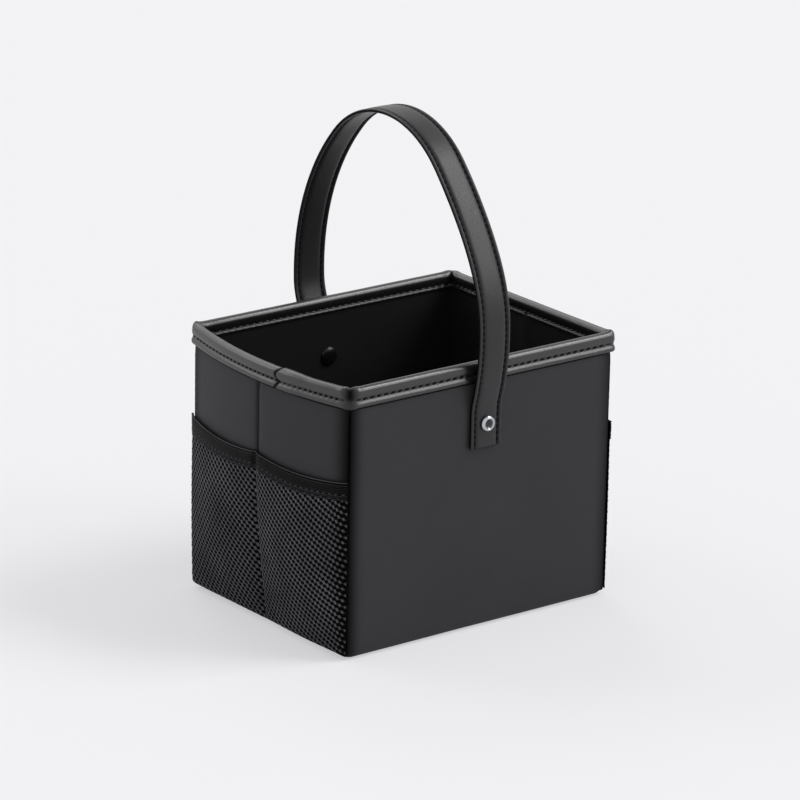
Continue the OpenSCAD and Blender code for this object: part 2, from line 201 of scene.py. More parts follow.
class BoxSizes(PropertyGroup):
    """Sizes of what is sewn, bent or knitted on the box."""

    side_stitch: length_property("Side rim stitch", "Distance between two stitches of the side rims",
                                 4.3, 2.5, 8)
    end_stitch: length_property("End rim stitch", "Distance between two stitches of the front and back rims",
                                5.1, 2.5, 8)
    strap_stitch: length_property("Strap stitch", "Distance between two stitches of the strap", 3.8, 2.5, 8)
    band_stitch: length_property("Band stitch", "Distance between two stitches of the elastic", 4.4, 2.5, 8)
    thread_r: length_property("Thread radius", "Radius of the sewing thread", 0.42, 0.15, 0.6)
    mesh_pitch: length_property("Mesh pitch", "Distance between two loops of the knitted mesh", 3.15, 2.5, 6)
    mesh_relief: length_property("Mesh relief", "Height of a loop over the gaps beside it", 0.9, 0.2, 1.5)
    strap_lean: length_property("Strap lean", "How far the strap's crown leans to the back", 8.7, 0, 12)
    side_bow: length_property("Left wall bow", "How far the left wall stands out in its middle", 8.5, 0, 12)
    side_dip: length_property("Left rim dip", "How far the left rim sinks in its middle", 1.3, 0, 3)
    grain: length_property("Grain", "Width of a grain of the leatherette", 0.9, 0.4, 2)


def box_colours():
    """The colours that this scene's box is made with."""
    return bpy.context.scene.box_colours


def box_sizes():
    """The sizes that this scene's box is made with."""
    return bpy.context.scene.box_sizes


# Shapes

def ease(t):
    """Smooth step from 0 to 1."""
    t = np.clip(t, 0.0, 1.0)
    return t * t * (3 - 2 * t)


def wave(seed, *places, cell=30 * MM):
    """Smooth seeded unevenness from -1 to 1, a sum of tilted sine waves of about that cell size."""
    rng = np.random.default_rng(seed)
    total = 0.0
    for _ in range(WAVES):
        ways = rng.normal(size=len(places)) * 2 * pi / cell / WAVE_SPREAD
        total = total + np.sin(sum(w * p for w, p in zip(ways, places)) + rng.uniform(0, 2 * pi))
    return total / WAVES


def run_lengths(line):
    """Distance of each point of a line from its start, measured in its first two columns."""
    return np.concatenate([[0], np.cumsum(np.hypot(*np.diff(line[:, :2], axis=0).T))])


def side_name(side):
    """Which wall a side number means."""
    return "left" if side == LEFT else "right"


def bow_left(x, y, z):
    """How far the left wall stands out and how far its rim sinks at a place, in metres."""
    sizes = box_sizes()
    share = np.clip(1 - (y / HALF_D) ** 2, 0, 1)
    # Some of the bow comes just above the base, and most of it higher up
    low_share = 0.28
    rise = ease((z - BEND_R) / (RIM_TOP * 0.62)) * (1 - low_share) + ease(z / (RIM_TOP * 0.25)) * low_share
    left = ease((-x / HALF_W - 0.8) / 0.1)
    return sizes.side_bow * share * rise * left, sizes.side_dip * share * ease(z / RIM_TOP * 1.4 - 0.4) * left


def bowed(points):
    """Points of the left wall moved as that wall bows; all others stay."""
    points = np.array(points, float)
    out, dip = bow_left(points[..., 0], points[..., 1], points[..., 2])
    points[..., 0] -= out
    points[..., 2] -= dip
    return points


def grid_faces(rows, columns, loop_rows, loop_columns):
    """Faces of a grid of points, as quads of point numbers."""
    last_row = rows if loop_rows else rows - 1
    last_column = columns if loop_columns else columns - 1
    i, j = np.meshgrid(np.arange(last_row), np.arange(last_column), indexing="ij")
    k, m = (i + 1) % rows, (j + 1) % columns
    return np.stack([i * columns + j, k * columns + j, k * columns + m, i * columns + m], -1).reshape(-1, 4)


def make_object(name, points, faces, depth=None, sharp=50):
    """Mesh object of points and faces, smooth up to a sharp angle. depth is painted shade, 0 in the open and
    1 in a gap.
    """
    mesh = bpy.data.meshes.new(name)
    mesh.from_pydata([tuple(p) for p in points], [], [tuple(int(i) for i in f) for f in faces])
    if depth is not None:
        shade_mask = mesh.attributes.new("depth", "FLOAT", "POINT")
        shade_mask.data.foreach_set("value", np.asarray(depth, np.float32).ravel())
    shape = bmesh.new()
    shape.from_mesh(mesh)
    bmesh.ops.remove_doubles(shape, verts=shape.verts, dist=1e-6)
    bmesh.ops.dissolve_degenerate(shape, edges=shape.edges, dist=1e-7)
    bmesh.ops.recalc_face_normals(shape, faces=shape.faces)
    shape.to_mesh(mesh)
    shape.free()
    mesh.shade_smooth()
    mesh.set_sharp_from_angle(angle=radians(sharp))
    made = bpy.data.objects.new(name, mesh)
    bpy.context.scene.collection.objects.link(made)
    return made


def make_shell(name, outer, inner, depth=None, loop_rows=False, loop_columns=False, sharp=50):
    """Closed shell between two grids of points of one size. depth holds the painted shade of each outer
    point.
    """
    rows, columns = outer.shape[:2]
    count = rows * columns
    top = grid_faces(rows, columns, loop_rows, loop_columns)
    faces = [top, top[:, ::-1] + count]
    number = np.arange(count).reshape(rows, columns)
    rims = []
    if not loop_rows:
        rims += [number[0], number[-1][::-1]]
    if not loop_columns:
        rims += [number[::-1, 0], number[:, -1]]
    for rim in rims:
        faces.append(np.stack([rim[:-1], rim[1:], rim[1:] + count, rim[:-1] + count], -1))
    points = np.concatenate([outer.reshape(-1, 3), inner.reshape(-1, 3)])
    if depth is not None:
        # The inner face is painted in full shade
        depth = np.concatenate([depth.ravel(), np.ones(count)])
    return make_object(name, points, np.concatenate(faces), depth, sharp)


def capped_faces(rings, count):
    """Faces of a closed tube of rings of points, with one face across each end."""
    faces = [list(f) for f in grid_faces(rings, count, False, True)]
    faces.append(list(range(count))[::-1])
    faces.append([(rings - 1) * count + i for i in range(count)])
    return faces


def make_tube(name, rings, depth=None, sharp=50):
    """Closed tube between the first and the last of its rings of points."""
    return make_object(name, rings.reshape(-1, 3), capped_faces(*rings.shape[:2]), depth, sharp)


def rounded_ring(a, b, r, z, turn_points, spaces=(1, 1)):
    """Points round a rounded rectangle at height z, with half sides a and b and corners of radius r.

    Each corner has turn_points, and spaces says how many spaces lie between them along x and along y.
    """
    centres = ((a - r, b - r), (r - a, b - r), (r - a, r - b), (a - r, r - b))
    points = []
    for k, (x, y) in enumerate(centres):
        turn = (k + 1) * pi / 2
        points += [(x + r * cos(t), y + r * sin(t)) for t in np.linspace(turn - pi / 2, turn, turn_points)]
        next_x, next_y = centres[(k + 1) % 4]
        start, end = np.array(points[-1]), np.array([next_x + r * cos(turn), next_y + r * sin(turn)])
        points += [tuple(start + (end - start) * s) for s in np.linspace(0, 1, spaces[k % 2] + 1)[1:-1]]
    return np.array([(x, y, z) for x, y in points])


def finish_piece(piece, material, body, stands_for=()):
    """Gives a piece its material and body, and hides the CAD nodes that it stands for."""
    piece.data.materials.clear()
    piece.data.materials.append(material)
    if stands_for:
        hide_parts(*stands_for)
    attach(piece, body)
    return piece


def steps(start, end, spacing):
    """Evenly spaced values from start to end, about that far apart."""
    return np.linspace(start, end, max(2, int(ceil(abs(end - start) / spacing)) + 1))


def panel_places(half, middle=False):
    """Places across a panel, close together beside its seams and, if asked, beside its middle."""
    fine, coarse = 0.6 * MM, 2.6 * MM
    edge, flat, crease = half - PAD_DROP - SEAM_GAP, half - PAD_RUN - 2 * MM, 6 * MM
    parts = [steps(-edge, -flat, fine)]
    if middle:
        parts += [steps(-flat, -crease, coarse)[1:], steps(-crease, crease, fine)[1:],
                  steps(crease, flat, coarse)[1:]]
    else:
        parts += [steps(-flat, flat, coarse)[1:]]
    return np.concatenate([*parts, steps(flat, edge, fine)[1:]])


def pad_depth(distance):
    """Depth of the padding's face at a distance from the edge of its panel."""
    return PAD_DROP * np.clip((PAD_RUN - distance) / (PAD_RUN - PAD_DROP), 0, 1) ** PAD_POWER


def tuck_depth(z):
    """Depth to which the binding presses the padding in below the rim."""
    return TUCK_DROP * np.clip(1 - (RIM_OUT_LOW - z) / TUCK_RUN, 0, 1) ** 2


def seam_shade(distance, run):
    """Painted shade beside a seam at a distance from it, from 1 at the seam to 0 past the run."""
    return np.clip(1 - distance / run, 0, 1) ** 1.6


def rim_shade(z):
    """Painted shade just below the binding, in the narrow crevice that its lower edge leaves."""
    return ease((z - RIM_OUT_LOW + CREVICE_SHADE) / CREVICE_SHADE_FADE)


def pucker(seed, along, distance):
    """Small pulls that the hidden stitches of a corner seam leave beside it."""
    stitches, uneven = np.sin(2 * pi * along / PUCKER_PITCH), wave(seed, along, cell=20 * MM)
    return np.clip(1 - distance / PUCKER_RUN, 0, 1) ** 2 * (0.12 * MM * stitches + 0.22 * MM * uneven)


def foam(seed, along, across, distance):
    """Gentle unevenness of the foam under the leatherette, wide and narrow, none at the seams."""
    wide, narrow = wave(seed, along, across, cell=70 * MM), wave(seed + 1, along, across, cell=22 * MM)
    return ease(distance / FOAM_CALM) * (0.16 * MM * wide + 0.05 * MM * narrow)


# Materials

# A wave texture's bands lie this far apart at a scale of 1, in metres
BAND_SPACE = 0.314
# Sockets of a colour mix by number, because its sockets for numbers and directions bear the same names
AMOUNT, FIRST, SECOND, RESULT = 0, 6, 7, 2
WHITE = (1.0, 1.0, 1.0, 1.0)


def linear(code):
    """Linear RGBA of six sRGB hex digits."""
    parts = [int(code[i:i + 2], 16) / 255 for i in (0, 2, 4)]
    return (*[c / 12.92 if c <= 0.04045 else ((c + 0.055) / 1.055) ** 2.4 for c in parts], 1.0)


def add_node(tree, kind, inputs=None, **options):
    """Adds a node, sets its options, and fills its inputs with values or other nodes' outputs."""
    node = tree.nodes.new(kind)
    for key, value in options.items():
        setattr(node, key, value)
    for key, value in (inputs or {}).items():
        socket = node.inputs[key]
        if isinstance(value, bpy.types.NodeSocket):
            tree.links.new(value, socket)
        else:
            socket.default_value = value
    return node


def start_material(name, **surface):
    """A new material with a principled surface, as (material, its node tree, the surface node)."""
    material = bpy.data.materials.new(name)
    material.use_nodes = True
    tree = material.node_tree
    tree.nodes.clear()
    shader = add_node(tree, "ShaderNodeBsdfPrincipled", surface)
    add_node(tree, "ShaderNodeOutputMaterial", {"Surface": shader.outputs["BSDF"]})
    return material, tree, shader


def tone(colour, factor):
    """A colour made darker or lighter by a factor."""
    return (*[min(1.0, c * factor) for c in colour[:3]], 1.0)


def leather_material(name, code, grain, roughness, grain_depth, gloss):
    """PU leatherette: a cast film with an embossed grain that breaks up its satin shine.

    Where its depth attribute holds painted shade, in seams, creases, grooves and crevices, it is rougher and
    painted darker, with its shine dimmed; on the strap that attribute also holds the cut edges' real black
    paint.
    """
    material, tree, shader = start_material(name, **{"IOR": 1.5, "Specular IOR Level": gloss})
    place = add_node(tree, "ShaderNodeTexCoord").outputs["Object"]
    base = linear(code)
    cells = add_node(tree, "ShaderNodeTexVoronoi", {"Vector": place, "Scale": 1 / grain, "Randomness": 0.95},
                     feature="F1", distance="EUCLIDEAN")
    creases = add_node(tree, "ShaderNodeTexNoise", {"Vector": place, "Scale": 0.45 / grain, "Detail": 4.0,
                                                    "Roughness": 0.6})
    # Its tone drifts from place to place over some 45 mm
    clouds = add_node(tree, "ShaderNodeTexNoise", {"Vector": place, "Scale": 1 / (45.5 * MM), "Detail": 3.0})
    height = add_node(tree, "ShaderNodeMath", {0: cells.outputs["Distance"], 1: creases.outputs["Fac"]},
                      operation="ADD")
    bump = add_node(tree, "ShaderNodeBump", {"Height": height.outputs["Value"], "Strength": 0.5,
                                             "Distance": grain_depth})
    # The depth attribute: painted shade, and on the strap the cut edges' real black paint
    shade_and_edge_paint = add_node(tree, "ShaderNodeAttribute", attribute_name="depth").outputs["Fac"]
    film = add_node(tree, "ShaderNodeMix", {AMOUNT: clouds.outputs["Fac"], FIRST: tone(base, 0.92),
                                            SECOND: tone(base, 1.08)}, data_type="RGBA")
    # Painted shade: the colour falls to 8% of the film's where the attribute is 1
    colour = add_node(tree, "ShaderNodeMix", {AMOUNT: shade_and_edge_paint, FIRST: film.outputs[RESULT],
                                              SECOND: tone(base, 0.08)}, data_type="RGBA")
    # The creases move its roughness by half of this up and down
    spread = 0.09
    dull = add_node(tree, "ShaderNodeMath", {0: shade_and_edge_paint, 1: 0.4, 2: roughness - spread / 2},
                    operation="MULTIPLY_ADD")
    rough = add_node(tree, "ShaderNodeMath", {0: creases.outputs["Fac"], 1: spread, 2: dull.outputs["Value"]},
                     operation="MULTIPLY_ADD")
    # Painted shade: where the attribute is high the film's shine is dimmed through its specular tint, as its
    # colour is darkened
    shine = add_node(tree, "ShaderNodeMix", {AMOUNT: shade_and_edge_paint, FIRST: WHITE, SECOND: tone(WHITE, 0.04)},
                     data_type="RGBA")
    tree.links.new(colour.outputs[RESULT], shader.inputs["Base Color"])
    tree.links.new(shine.outputs[RESULT], shader.inputs["Specular Tint"])
    tree.links.new(rough.outputs["Value"], shader.inputs["Roughness"])
    tree.links.new(bump.outputs["Normal"], shader.inputs["Normal"])
    return material


def cloth_material(name, code):
    """Plain-woven polyester: matt, a fine square weave that the eye sees as a faint tooth."""
    surface = {"Roughness": 0.9, "IOR": 1.45, "Specular IOR Level": 0.15, "Sheen Weight": 0.04,
               "Sheen Roughness": 0.5}
    material, tree, shader = start_material(name, **surface)
    place = add_node(tree, "ShaderNodeTexCoord").outputs["Object"]
    base = linear(code)
    # Threads lie 0.5 mm apart and are drawn 0.9 mm apart so that they show at all
    thread = 0.9 * MM
    total = 0.0
    for axis in ("X", "Y", "Z"):
        bands = add_node(tree, "ShaderNodeTexWave", {"Vector": place, "Scale": BAND_SPACE / thread,
                                                     "Distortion": 0.4, "Detail": 1.0},
                         wave_type="BANDS", bands_direction=axis)
        total = add_node(tree, "ShaderNodeMath", {0: total, 1: bands.outputs["Fac"]},
                         operation="ADD").outputs["Value"]
    clouds = add_node(tree, "ShaderNodeTexNoise", {"Vector": place, "Scale": 1 / (33.3 * MM), "Detail": 4.0})
    bump = add_node(tree, "ShaderNodeBump", {"Height": total, "Strength": 0.4, "Distance": 0.12 * MM})
    colour = add_node(tree, "ShaderNodeMix", {AMOUNT: clouds.outputs["Fac"], FIRST: tone(base, 0.7),
                                              SECOND: tone(base, 1.3)}, data_type="RGBA")
    tree.links.new(colour.outputs[RESULT], shader.inputs["Base Color"])
    tree.links.new(bump.outputs["Normal"], shader.inputs["Normal"])
    return material


def yarn_material(name, code, gap_shade_code, streak, gloss):
    """Polyester yarn: plump and satin, with filaments seen as fine streaks; nearly black with painted shade
    in its gaps.
    """
    surface = {"Roughness": 0.5, "IOR": 1.5, "Specular IOR Level": gloss}
    material, tree, shader = start_material(name, **surface)
    place = add_node(tree, "ShaderNodeTexCoord").outputs["Object"]
    base = linear(code)
    # Filaments are about 0.02 mm thick, and streak is the far coarser width at which they show at all
    streaks = add_node(tree, "ShaderNodeTexNoise", {"Vector": place, "Scale": 1 / streak, "Detail": 3.0})
    clouds = add_node(tree, "ShaderNodeTexNoise", {"Vector": place, "Scale": 1 / (22.2 * MM), "Detail": 2.0})
    mixed = add_node(tree, "ShaderNodeMath", {0: streaks.outputs["Fac"], 1: clouds.outputs["Fac"]},
                     operation="MULTIPLY").outputs["Value"]
    spread = add_node(tree, "ShaderNodeMapRange", {"Value": mixed, "From Min": 0.12, "From Max": 0.4})
    # Painted shade: where the depth attribute is high the colour goes to the gap's near black and the shine
    # is dimmed
    depth = add_node(tree, "ShaderNodeAttribute", attribute_name="depth").outputs["Fac"]
    shade_mask = add_node(tree, "ShaderNodeMapRange", {"Value": depth, "From Min": 0.2, "From Max": 0.62},
                    interpolation_type="SMOOTHSTEP")
    bump = add_node(tree, "ShaderNodeBump", {"Height": streaks.outputs["Fac"], "Strength": 0.6,
                                             "Distance": 0.15 * MM})
    yarn = add_node(tree, "ShaderNodeMix", {AMOUNT: spread.outputs["Result"], FIRST: tone(base, 0.7),
                                            SECOND: tone(base, 1.3)}, data_type="RGBA")
    colour = add_node(tree, "ShaderNodeMix", {AMOUNT: shade_mask.outputs["Result"], FIRST: yarn.outputs[RESULT],
                                              SECOND: linear(gap_shade_code)}, data_type="RGBA")
    shine = add_node(tree, "ShaderNodeMix", {AMOUNT: shade_mask.outputs["Result"], FIRST: WHITE,
                                             SECOND: tone(WHITE, 0.1)}, data_type="RGBA")
    tree.links.new(colour.outputs[RESULT], shader.inputs["Base Color"])
    tree.links.new(shine.outputs[RESULT], shader.inputs["Specular Tint"])
    tree.links.new(bump.outputs["Normal"], shader.inputs["Normal"])
    return material


def board_material(name, code):
    """Grey pressboard: matt, with a fibre mottle."""
    material, tree, shader = start_material(name, **{"Roughness": 0.85, "IOR": 1.45})
    place = add_node(tree, "ShaderNodeTexCoord").outputs["Object"]
    base = linear(code)
    # The pulp lies in clumps of about 1.7 mm
    fibres = add_node(tree, "ShaderNodeTexNoise", {"Vector": place, "Scale": 1 / (1.7 * MM), "Detail": 5.0})
    bump = add_node(tree, "ShaderNodeBump", {"Height": fibres.outputs["Fac"], "Strength": 0.3,
                                             "Distance": 0.1 * MM})
    colour = add_node(tree, "ShaderNodeMix", {AMOUNT: fibres.outputs["Fac"], FIRST: tone(base, 0.8),
                                              SECOND: tone(base, 1.15)}, data_type="RGBA")
    tree.links.new(colour.outputs[RESULT], shader.inputs["Base Color"])
    tree.links.new(bump.outputs["Normal"], shader.inputs["Normal"])
    return material


def chrome_material(name, code):
    """Chrome plate on brass: a mirror with the faint haze of barrel polishing."""
    material, tree, shader = start_material(name, **{"Metallic": 1.0})
    place = add_node(tree, "ShaderNodeTexCoord").outputs["Object"]
    base = linear(code)
    # Polishing marks are too fine for the eye and are drawn as haze in spots of about 1 mm
    haze = add_node(tree, "ShaderNodeTexNoise", {"Vector": place, "Scale": 1 / (1.11 * MM), "Detail": 2.0})
    rough = add_node(tree, "ShaderNodeMapRange", {"Value": haze.outputs["Fac"], "To Min": 0.1, "To Max": 0.2})
    # Painted shade and dark reflection: where the depth attribute is 1, in the dish and behind the rolled
    # edge, the plate's colour falls to a tenth
    shade_mask = add_node(tree, "ShaderNodeAttribute", attribute_name="depth").outputs["Fac"]
    plate = add_node(tree, "ShaderNodeMix", {AMOUNT: haze.outputs["Fac"], FIRST: tone(base, 0.9),
                                             SECOND: base}, data_type="RGBA")
    colour = add_node(tree, "ShaderNodeMix", {AMOUNT: shade_mask, FIRST: plate.outputs[RESULT],
                                              SECOND: tone(base, 0.1)}, data_type="RGBA")
    tree.links.new(colour.outputs[RESULT], shader.inputs["Base Color"])
    tree.links.new(rough.outputs["Result"], shader.inputs["Roughness"])
    return material


def enamel_material(name, code):
    """Black stoving enamel: glossy with a slight orange peel."""
    material, tree, shader = start_material(name, **{"IOR": 1.5, "Specular IOR Level": 0.3})
    place = add_node(tree, "ShaderNodeTexCoord").outputs["Object"]
    base = linear(code)
    # The peel's ripples are about 0.7 mm wide
    peel = add_node(tree, "ShaderNodeTexNoise", {"Vector": place, "Scale": 1 / (0.67 * MM), "Detail": 2.0})
    rough = add_node(tree, "ShaderNodeMapRange", {"Value": peel.outputs["Fac"], "To Min": 0.22,
                                                  "To Max": 0.36})
    bump = add_node(tree, "ShaderNodeBump", {"Height": peel.outputs["Fac"], "Strength": 0.15,
                                             "Distance": 0.05 * MM})
    colour = add_node(tree, "ShaderNodeMix", {AMOUNT: peel.outputs["Fac"], FIRST: tone(base, 0.9),
                                              SECOND: tone(base, 1.1)}, data_type="RGBA")
    tree.links.new(colour.outputs[RESULT], shader.inputs["Base Color"])
    tree.links.new(rough.outputs["Result"], shader.inputs["Roughness"])
    tree.links.new(bump.outputs["Normal"], shader.inputs["Normal"])
    return material


def material_for(slot):
    """The material of a record slot or of a thread, made once."""
    colours, sizes = box_colours(), box_sizes()
    finishes = {
        "leatherette": ("cast_pu_leatherette", lambda n: leather_material(
            n, colours.leather, sizes.grain, 0.5, 0.08 * MM, 0.12)),
        "binding_leatherette": ("glazed_pu_leatherette", lambda n: leather_material(
            n, colours.binding, sizes.grain * 0.8, 0.3, 0.06 * MM, 0.72)),
        "strap_leatherette": ("embossed_pu_leatherette", lambda n: leather_material(
            n, colours.strap, sizes.grain * 0.65, 0.38, 0.12 * MM, 0.38)),
        "strap_filler": ("felted_filler_board", lambda n: board_material(n, colours.board)),
        "stiffener_board": ("pressed_grey_board", lambda n: board_material(n, colours.board)),
        "lining_cloth": ("woven_polyester_cloth", lambda n: cloth_material(n, colours.cloth)),
        "pocket_mesh": ("knitted_polyester_mesh", lambda n: yarn_material(
            n, colours.mesh, colours.gap, 0.7 * MM, 0.08)),
        "elastic_band": ("woven_elastic", lambda n: yarn_material(
            n, colours.elastic, colours.gap, 0.9 * MM, 0.08)),
        "chrome_rivet": ("chrome_plated_brass", lambda n: chrome_material(n, colours.chrome)),
        "black_rivet_cap": ("black_stoving_enamel", lambda n: enamel_material(n, colours.enamel)),
        "dark_thread": ("bonded_polyester_thread", lambda n: yarn_material(
            n, colours.thread, colours.gap, 0.4 * MM, 0.1)),
        # Painted highlight: a lighter colour on the black thread
        "under_thread": ("polyester_thread_painted_highlight", lambda n: yarn_material(
            n, colours.under_thread, colours.gap, 0.4 * MM, 0.4)),
        "band_thread": ("elastic_sewing_thread", lambda n: yarn_material(
            n, colours.band_thread, colours.gap, 0.4 * MM, 0.15)),
    }
    name, make = finishes[slot]
    return bpy.data.materials.get(name) or make(name)


# Walls

def wrap_path():
    """The wrap's outer line from the front rim round under the base to the back rim, as (y, z, angle)."""
    flat = HALF_D - BEND_R
    # Close together just below the binding
    levels = np.concatenate([[WALL_TOP], steps(UNDER_RIM, NEAR_RIM, 0.4 * MM),
                             steps(NEAR_RIM, BEND_R, 2.6 * MM)[1:]])
    front_bend, back_bend = (np.linspace(a, a + pi / 2, 9)[1:] for a in (pi, 1.5 * pi))
    line = [(-HALF_D, z, pi) for z in levels]
    line += [(-flat + BEND_R * cos(a), BEND_R + BEND_R * sin(a), a) for a in front_bend]
    line += [(y, 0.0, 1.5 * pi) for y in steps(-flat, flat, 3.4 * MM)[1:]]
    line += [(flat + BEND_R * cos(a), BEND_R + BEND_R * sin(a), a) for a in back_bend]
    line += [(HALF_D, z, 0.0) for z in levels[-2::-1]]
    return np.array(line)


def build_wrap():
    """The strip of leatherette that makes the front, the underside and the back."""
    line = wrap_path()
    # The last row on each side turns down into the seam
    lip = np.array([HALF_W - PAD_DROP - SEAM_GAP - SEAM_DEEP])
    x = np.concatenate([-lip, panel_places(HALF_W), lip])[None, :]
    y, z, angle = (line[:, i][:, None] for i in range(3))
    along = run_lengths(line)[:, None]
    distance = HALF_W - np.abs(x)
    depth = pad_depth(distance) + tuck_depth(z)
    depth = depth + pucker(3, along + x * 0, distance) - foam(5, along, x, distance)
    # Under the box the foam is squashed flat, so that it stands on it
    depth = np.where(z < BEND_R, np.maximum(depth, 0.02 * MM), depth)
    depth[:, 0] = depth[:, -1] = PAD_DROP + SEAM_DEEP
    outer = np.stack([x + 0 * y, y - depth * np.cos(angle), z - depth * np.sin(angle)], -1)
    back = np.full_like(depth, SKIN_BACK)
    inner_x = np.clip(x, SKIN_BACK - HALF_W, HALF_W - SKIN_BACK)
    inner = np.stack([inner_x + 0 * y, y - back * np.cos(angle), z - back * np.sin(angle)], -1)
    # Painted shade beside the corner seams and in the crevice under the binding
    shade_and_edge_paint = np.maximum(seam_shade(distance - PAD_DROP, FRONT_SEAM_SHADE_RUN), rim_shade(z))
    piece = make_shell("outer_wrap_skin", outer, inner, shade_and_edge_paint)
    finish_piece(piece, material_for("leatherette"), "box", ["outer_wrap"])


def side_face(y, z):
    """Depth of a side wall's padded face below its plane."""
    fold, hollow = np.exp(-(np.abs(y) / (1.1 * MM)) ** 1.3), np.exp(-(y / (5 * MM)) ** 2)
    distance = HALF_D - np.abs(y)
    depth = np.maximum(pad_depth(distance), pad_depth(z)) + tuck_depth(z)
    depth = depth + 1.3 * MM * fold + 0.4 * MM * hollow
    return depth + pucker(11, z, distance) - foam(13, y, z, np.minimum(distance, z))


def build_side(side):
    """One side wall's leatherette with its fold crease."""
    edge, low = PAD_DROP + SEAM_GAP, 10 * MM
    lip = np.array([HALF_D - edge - SEAM_DEEP])
    y = np.concatenate([-lip, panel_places(HALF_D, middle=True), lip])[None, :]
    z = np.concatenate([[edge + SEAM_DEEP], steps(edge, low, 0.8 * MM), steps(low, NEAR_RIM, 2.4 * MM)[1:],
                        steps(NEAR_RIM, UNDER_RIM, 0.4 * MM)[1:], [WALL_TOP]])[:, None]
    depth = side_face(y, z)
    depth[:, 0] = depth[:, -1] = depth[0, :] = PAD_DROP + SEAM_DEEP
    # The bottom corners follow the wrap's bend
    past = np.clip(np.abs(y) - HALF_D + BEND_R, 0, None)
    lift = BEND_R - np.sqrt(np.clip(BEND_R ** 2 - past ** 2, 0, None))
    bend = ease(1 - z / (2 * BEND_R))
    up = np.where(z > 2 * BEND_R, z, np.maximum(z, lift * bend + z * (1 - bend) + edge * 0.6))
    outer = np.stack([side * (HALF_W - depth), y + 0 * z, up + 0 * y], -1)
    inner_y = np.clip(y, SKIN_BACK - HALF_D, HALF_D - SKIN_BACK) + 0 * z
    inner = np.stack([side * (HALF_W - SKIN_BACK) + 0 * depth, inner_y, np.maximum(up, SKIN_T) + 0 * y], -1)
    if side == LEFT:
        outer, inner = bowed(outer), bowed(inner)
    # Painted shade along the fold crease, beside the corner seams and in the crevice under the binding
    crease = 0.7 * np.exp(-(np.abs(y) / CREASE_SHADE_HALF) ** 1.2)
    seams = seam_shade(HALF_D - np.abs(y) - PAD_DROP, SIDE_SEAM_SHADE_RUN)
    shade_and_edge_paint = np.maximum(np.maximum(seams, rim_shade(z)), crease)
    name = side_name(side) + "_side"
    piece = make_shell(name + "_skin", outer, inner, shade_and_edge_paint)
    finish_piece(piece, material_for("leatherette"), "box", [name + "_panel"])


def build_boards():
    """The stiffening boards of the left wall, which bow with it; the other boards keep their CAD solids."""
    for name in ("left_front_board", "left_rear_board"):
        low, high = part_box(name)
        y, z = steps(low.y, high.y, 5 * MM)[None, :], steps(low.z, high.z, 6 * MM)[:, None]
        outer, inner = (bowed(np.stack(np.broadcast_arrays(x, y, z), -1)) for x in (low.x, high.x))
        piece = make_shell(name + "_bowed", outer, inner, sharp=30)
        finish_piece(piece, material_for("stiffener_board"), "box", [name])


def build_lining():
    """The black cloth bag inside: walls and base in one skin, slack enough to wrinkle a little."""
    top, base = RIM_IN_LOW + 3 * MM, SKIN_T
    half_x, half_y = CAVITY.x, CAVITY.y
    corner, foot_r = 3 * MM, 4 * MM
    turns = np.linspace(0, pi / 2, 5)[1:]
    # Rings from the rim down, over the foot and to the middle of the base. Each has its inset, its height,
    # how far the cloth's face lies over it, its size, and the corner radius of its face
    levels = [(0.0, z, 0.0, 1.0, corner - 0.4 * MM) for z in steps(top, base + foot_r, 3 * MM)]
    levels += [(foot_r * (1 - cos(t)), base + foot_r * (1 - sin(t)), LINING_T, 1.0, corner - 0.4 * MM)
               for t in turns]
    levels += [(foot_r, base, LINING_T, 1 - 0.999 * s, corner * 0.8) for s in np.linspace(0, 1, 14)[1:]]
    rows_out, rows_in = [], []
    for inset, z, rise, size, inner_corner in levels:
        a, b = half_x - inset, half_y - inset
        rows_out.append(rounded_ring(a * size, b * size, corner * size, z, 7, (40, 32)))
        rows_in.append(rounded_ring((a - LINING_T) * size, (b - LINING_T) * size, inner_corner * size,
                                    z + rise, 7, (40, 32)))
    outer, inner = np.array(rows_out), np.array(rows_in)
    x, y, z = (inner[..., i] for i in range(3))
    wall = ease((z - 8 * MM) / (20 * MM)) * ease((top - z) / (14 * MM))
    ripple = (wave(21, x * 0.7, y * 0.7, z * 0.35, cell=35 * MM) * 0.7
              + wave(22, x, y, z, cell=15 * MM) * 0.3)
    push = 0.5 * MM * wall * (0.8 + ripple)
    on_side = ease((np.abs(x) / half_x - 0.9) / 0.08)
    on_end = ease((np.abs(y) / half_y - 0.9) / 0.08)
    # The fold crease of each side wall shows through the cloth as a ridge
    ridge = 0.9 * MM * np.exp(-(np.abs(y) / (2.2 * MM)) ** 1.5) * on_side * ease(z / (30 * MM))
    inner[..., 0] -= np.sign(x) * (push * on_side * (1 - on_end) + ridge)
    inner[..., 1] -= np.sign(y) * push * on_end * (1 - on_side)
    piece = make_shell("lining_bag", bowed(outer), bowed(inner), loop_columns=True)
    finish_piece(piece, material_for("lining_cloth"), "box", ["lining"])


def build_insert():
    """The loose board on the base, covered in the lining's cloth, with soft edges."""
    low, high = INSERT_LOW.z, INSERT_HIGH.z
    soft, corner = 0.9 * MM, 5 * MM
    # From the middle of its underside over the edge to the middle of its top, as (inset in mm, height)
    section = [(30, low), (1.2, low), (0.3, low + 0.1 * MM), (0.0, low + soft), (0.0, high - soft),
               (0.3, high - 0.2 * MM), (1.2, high), (8, high), (30, high)]
    rings = [rounded_ring(INSERT_HIGH.x - inset * MM, INSERT_HIGH.y - inset * MM,
                          max(corner - inset * MM, 1 * MM), z, 9) for inset, z in section]
    piece = make_tube("base_board_cover", np.array(rings), sharp=60)
    finish_piece(piece, material_for("lining_cloth"), "box", ["base_insert"])


# Rim binding

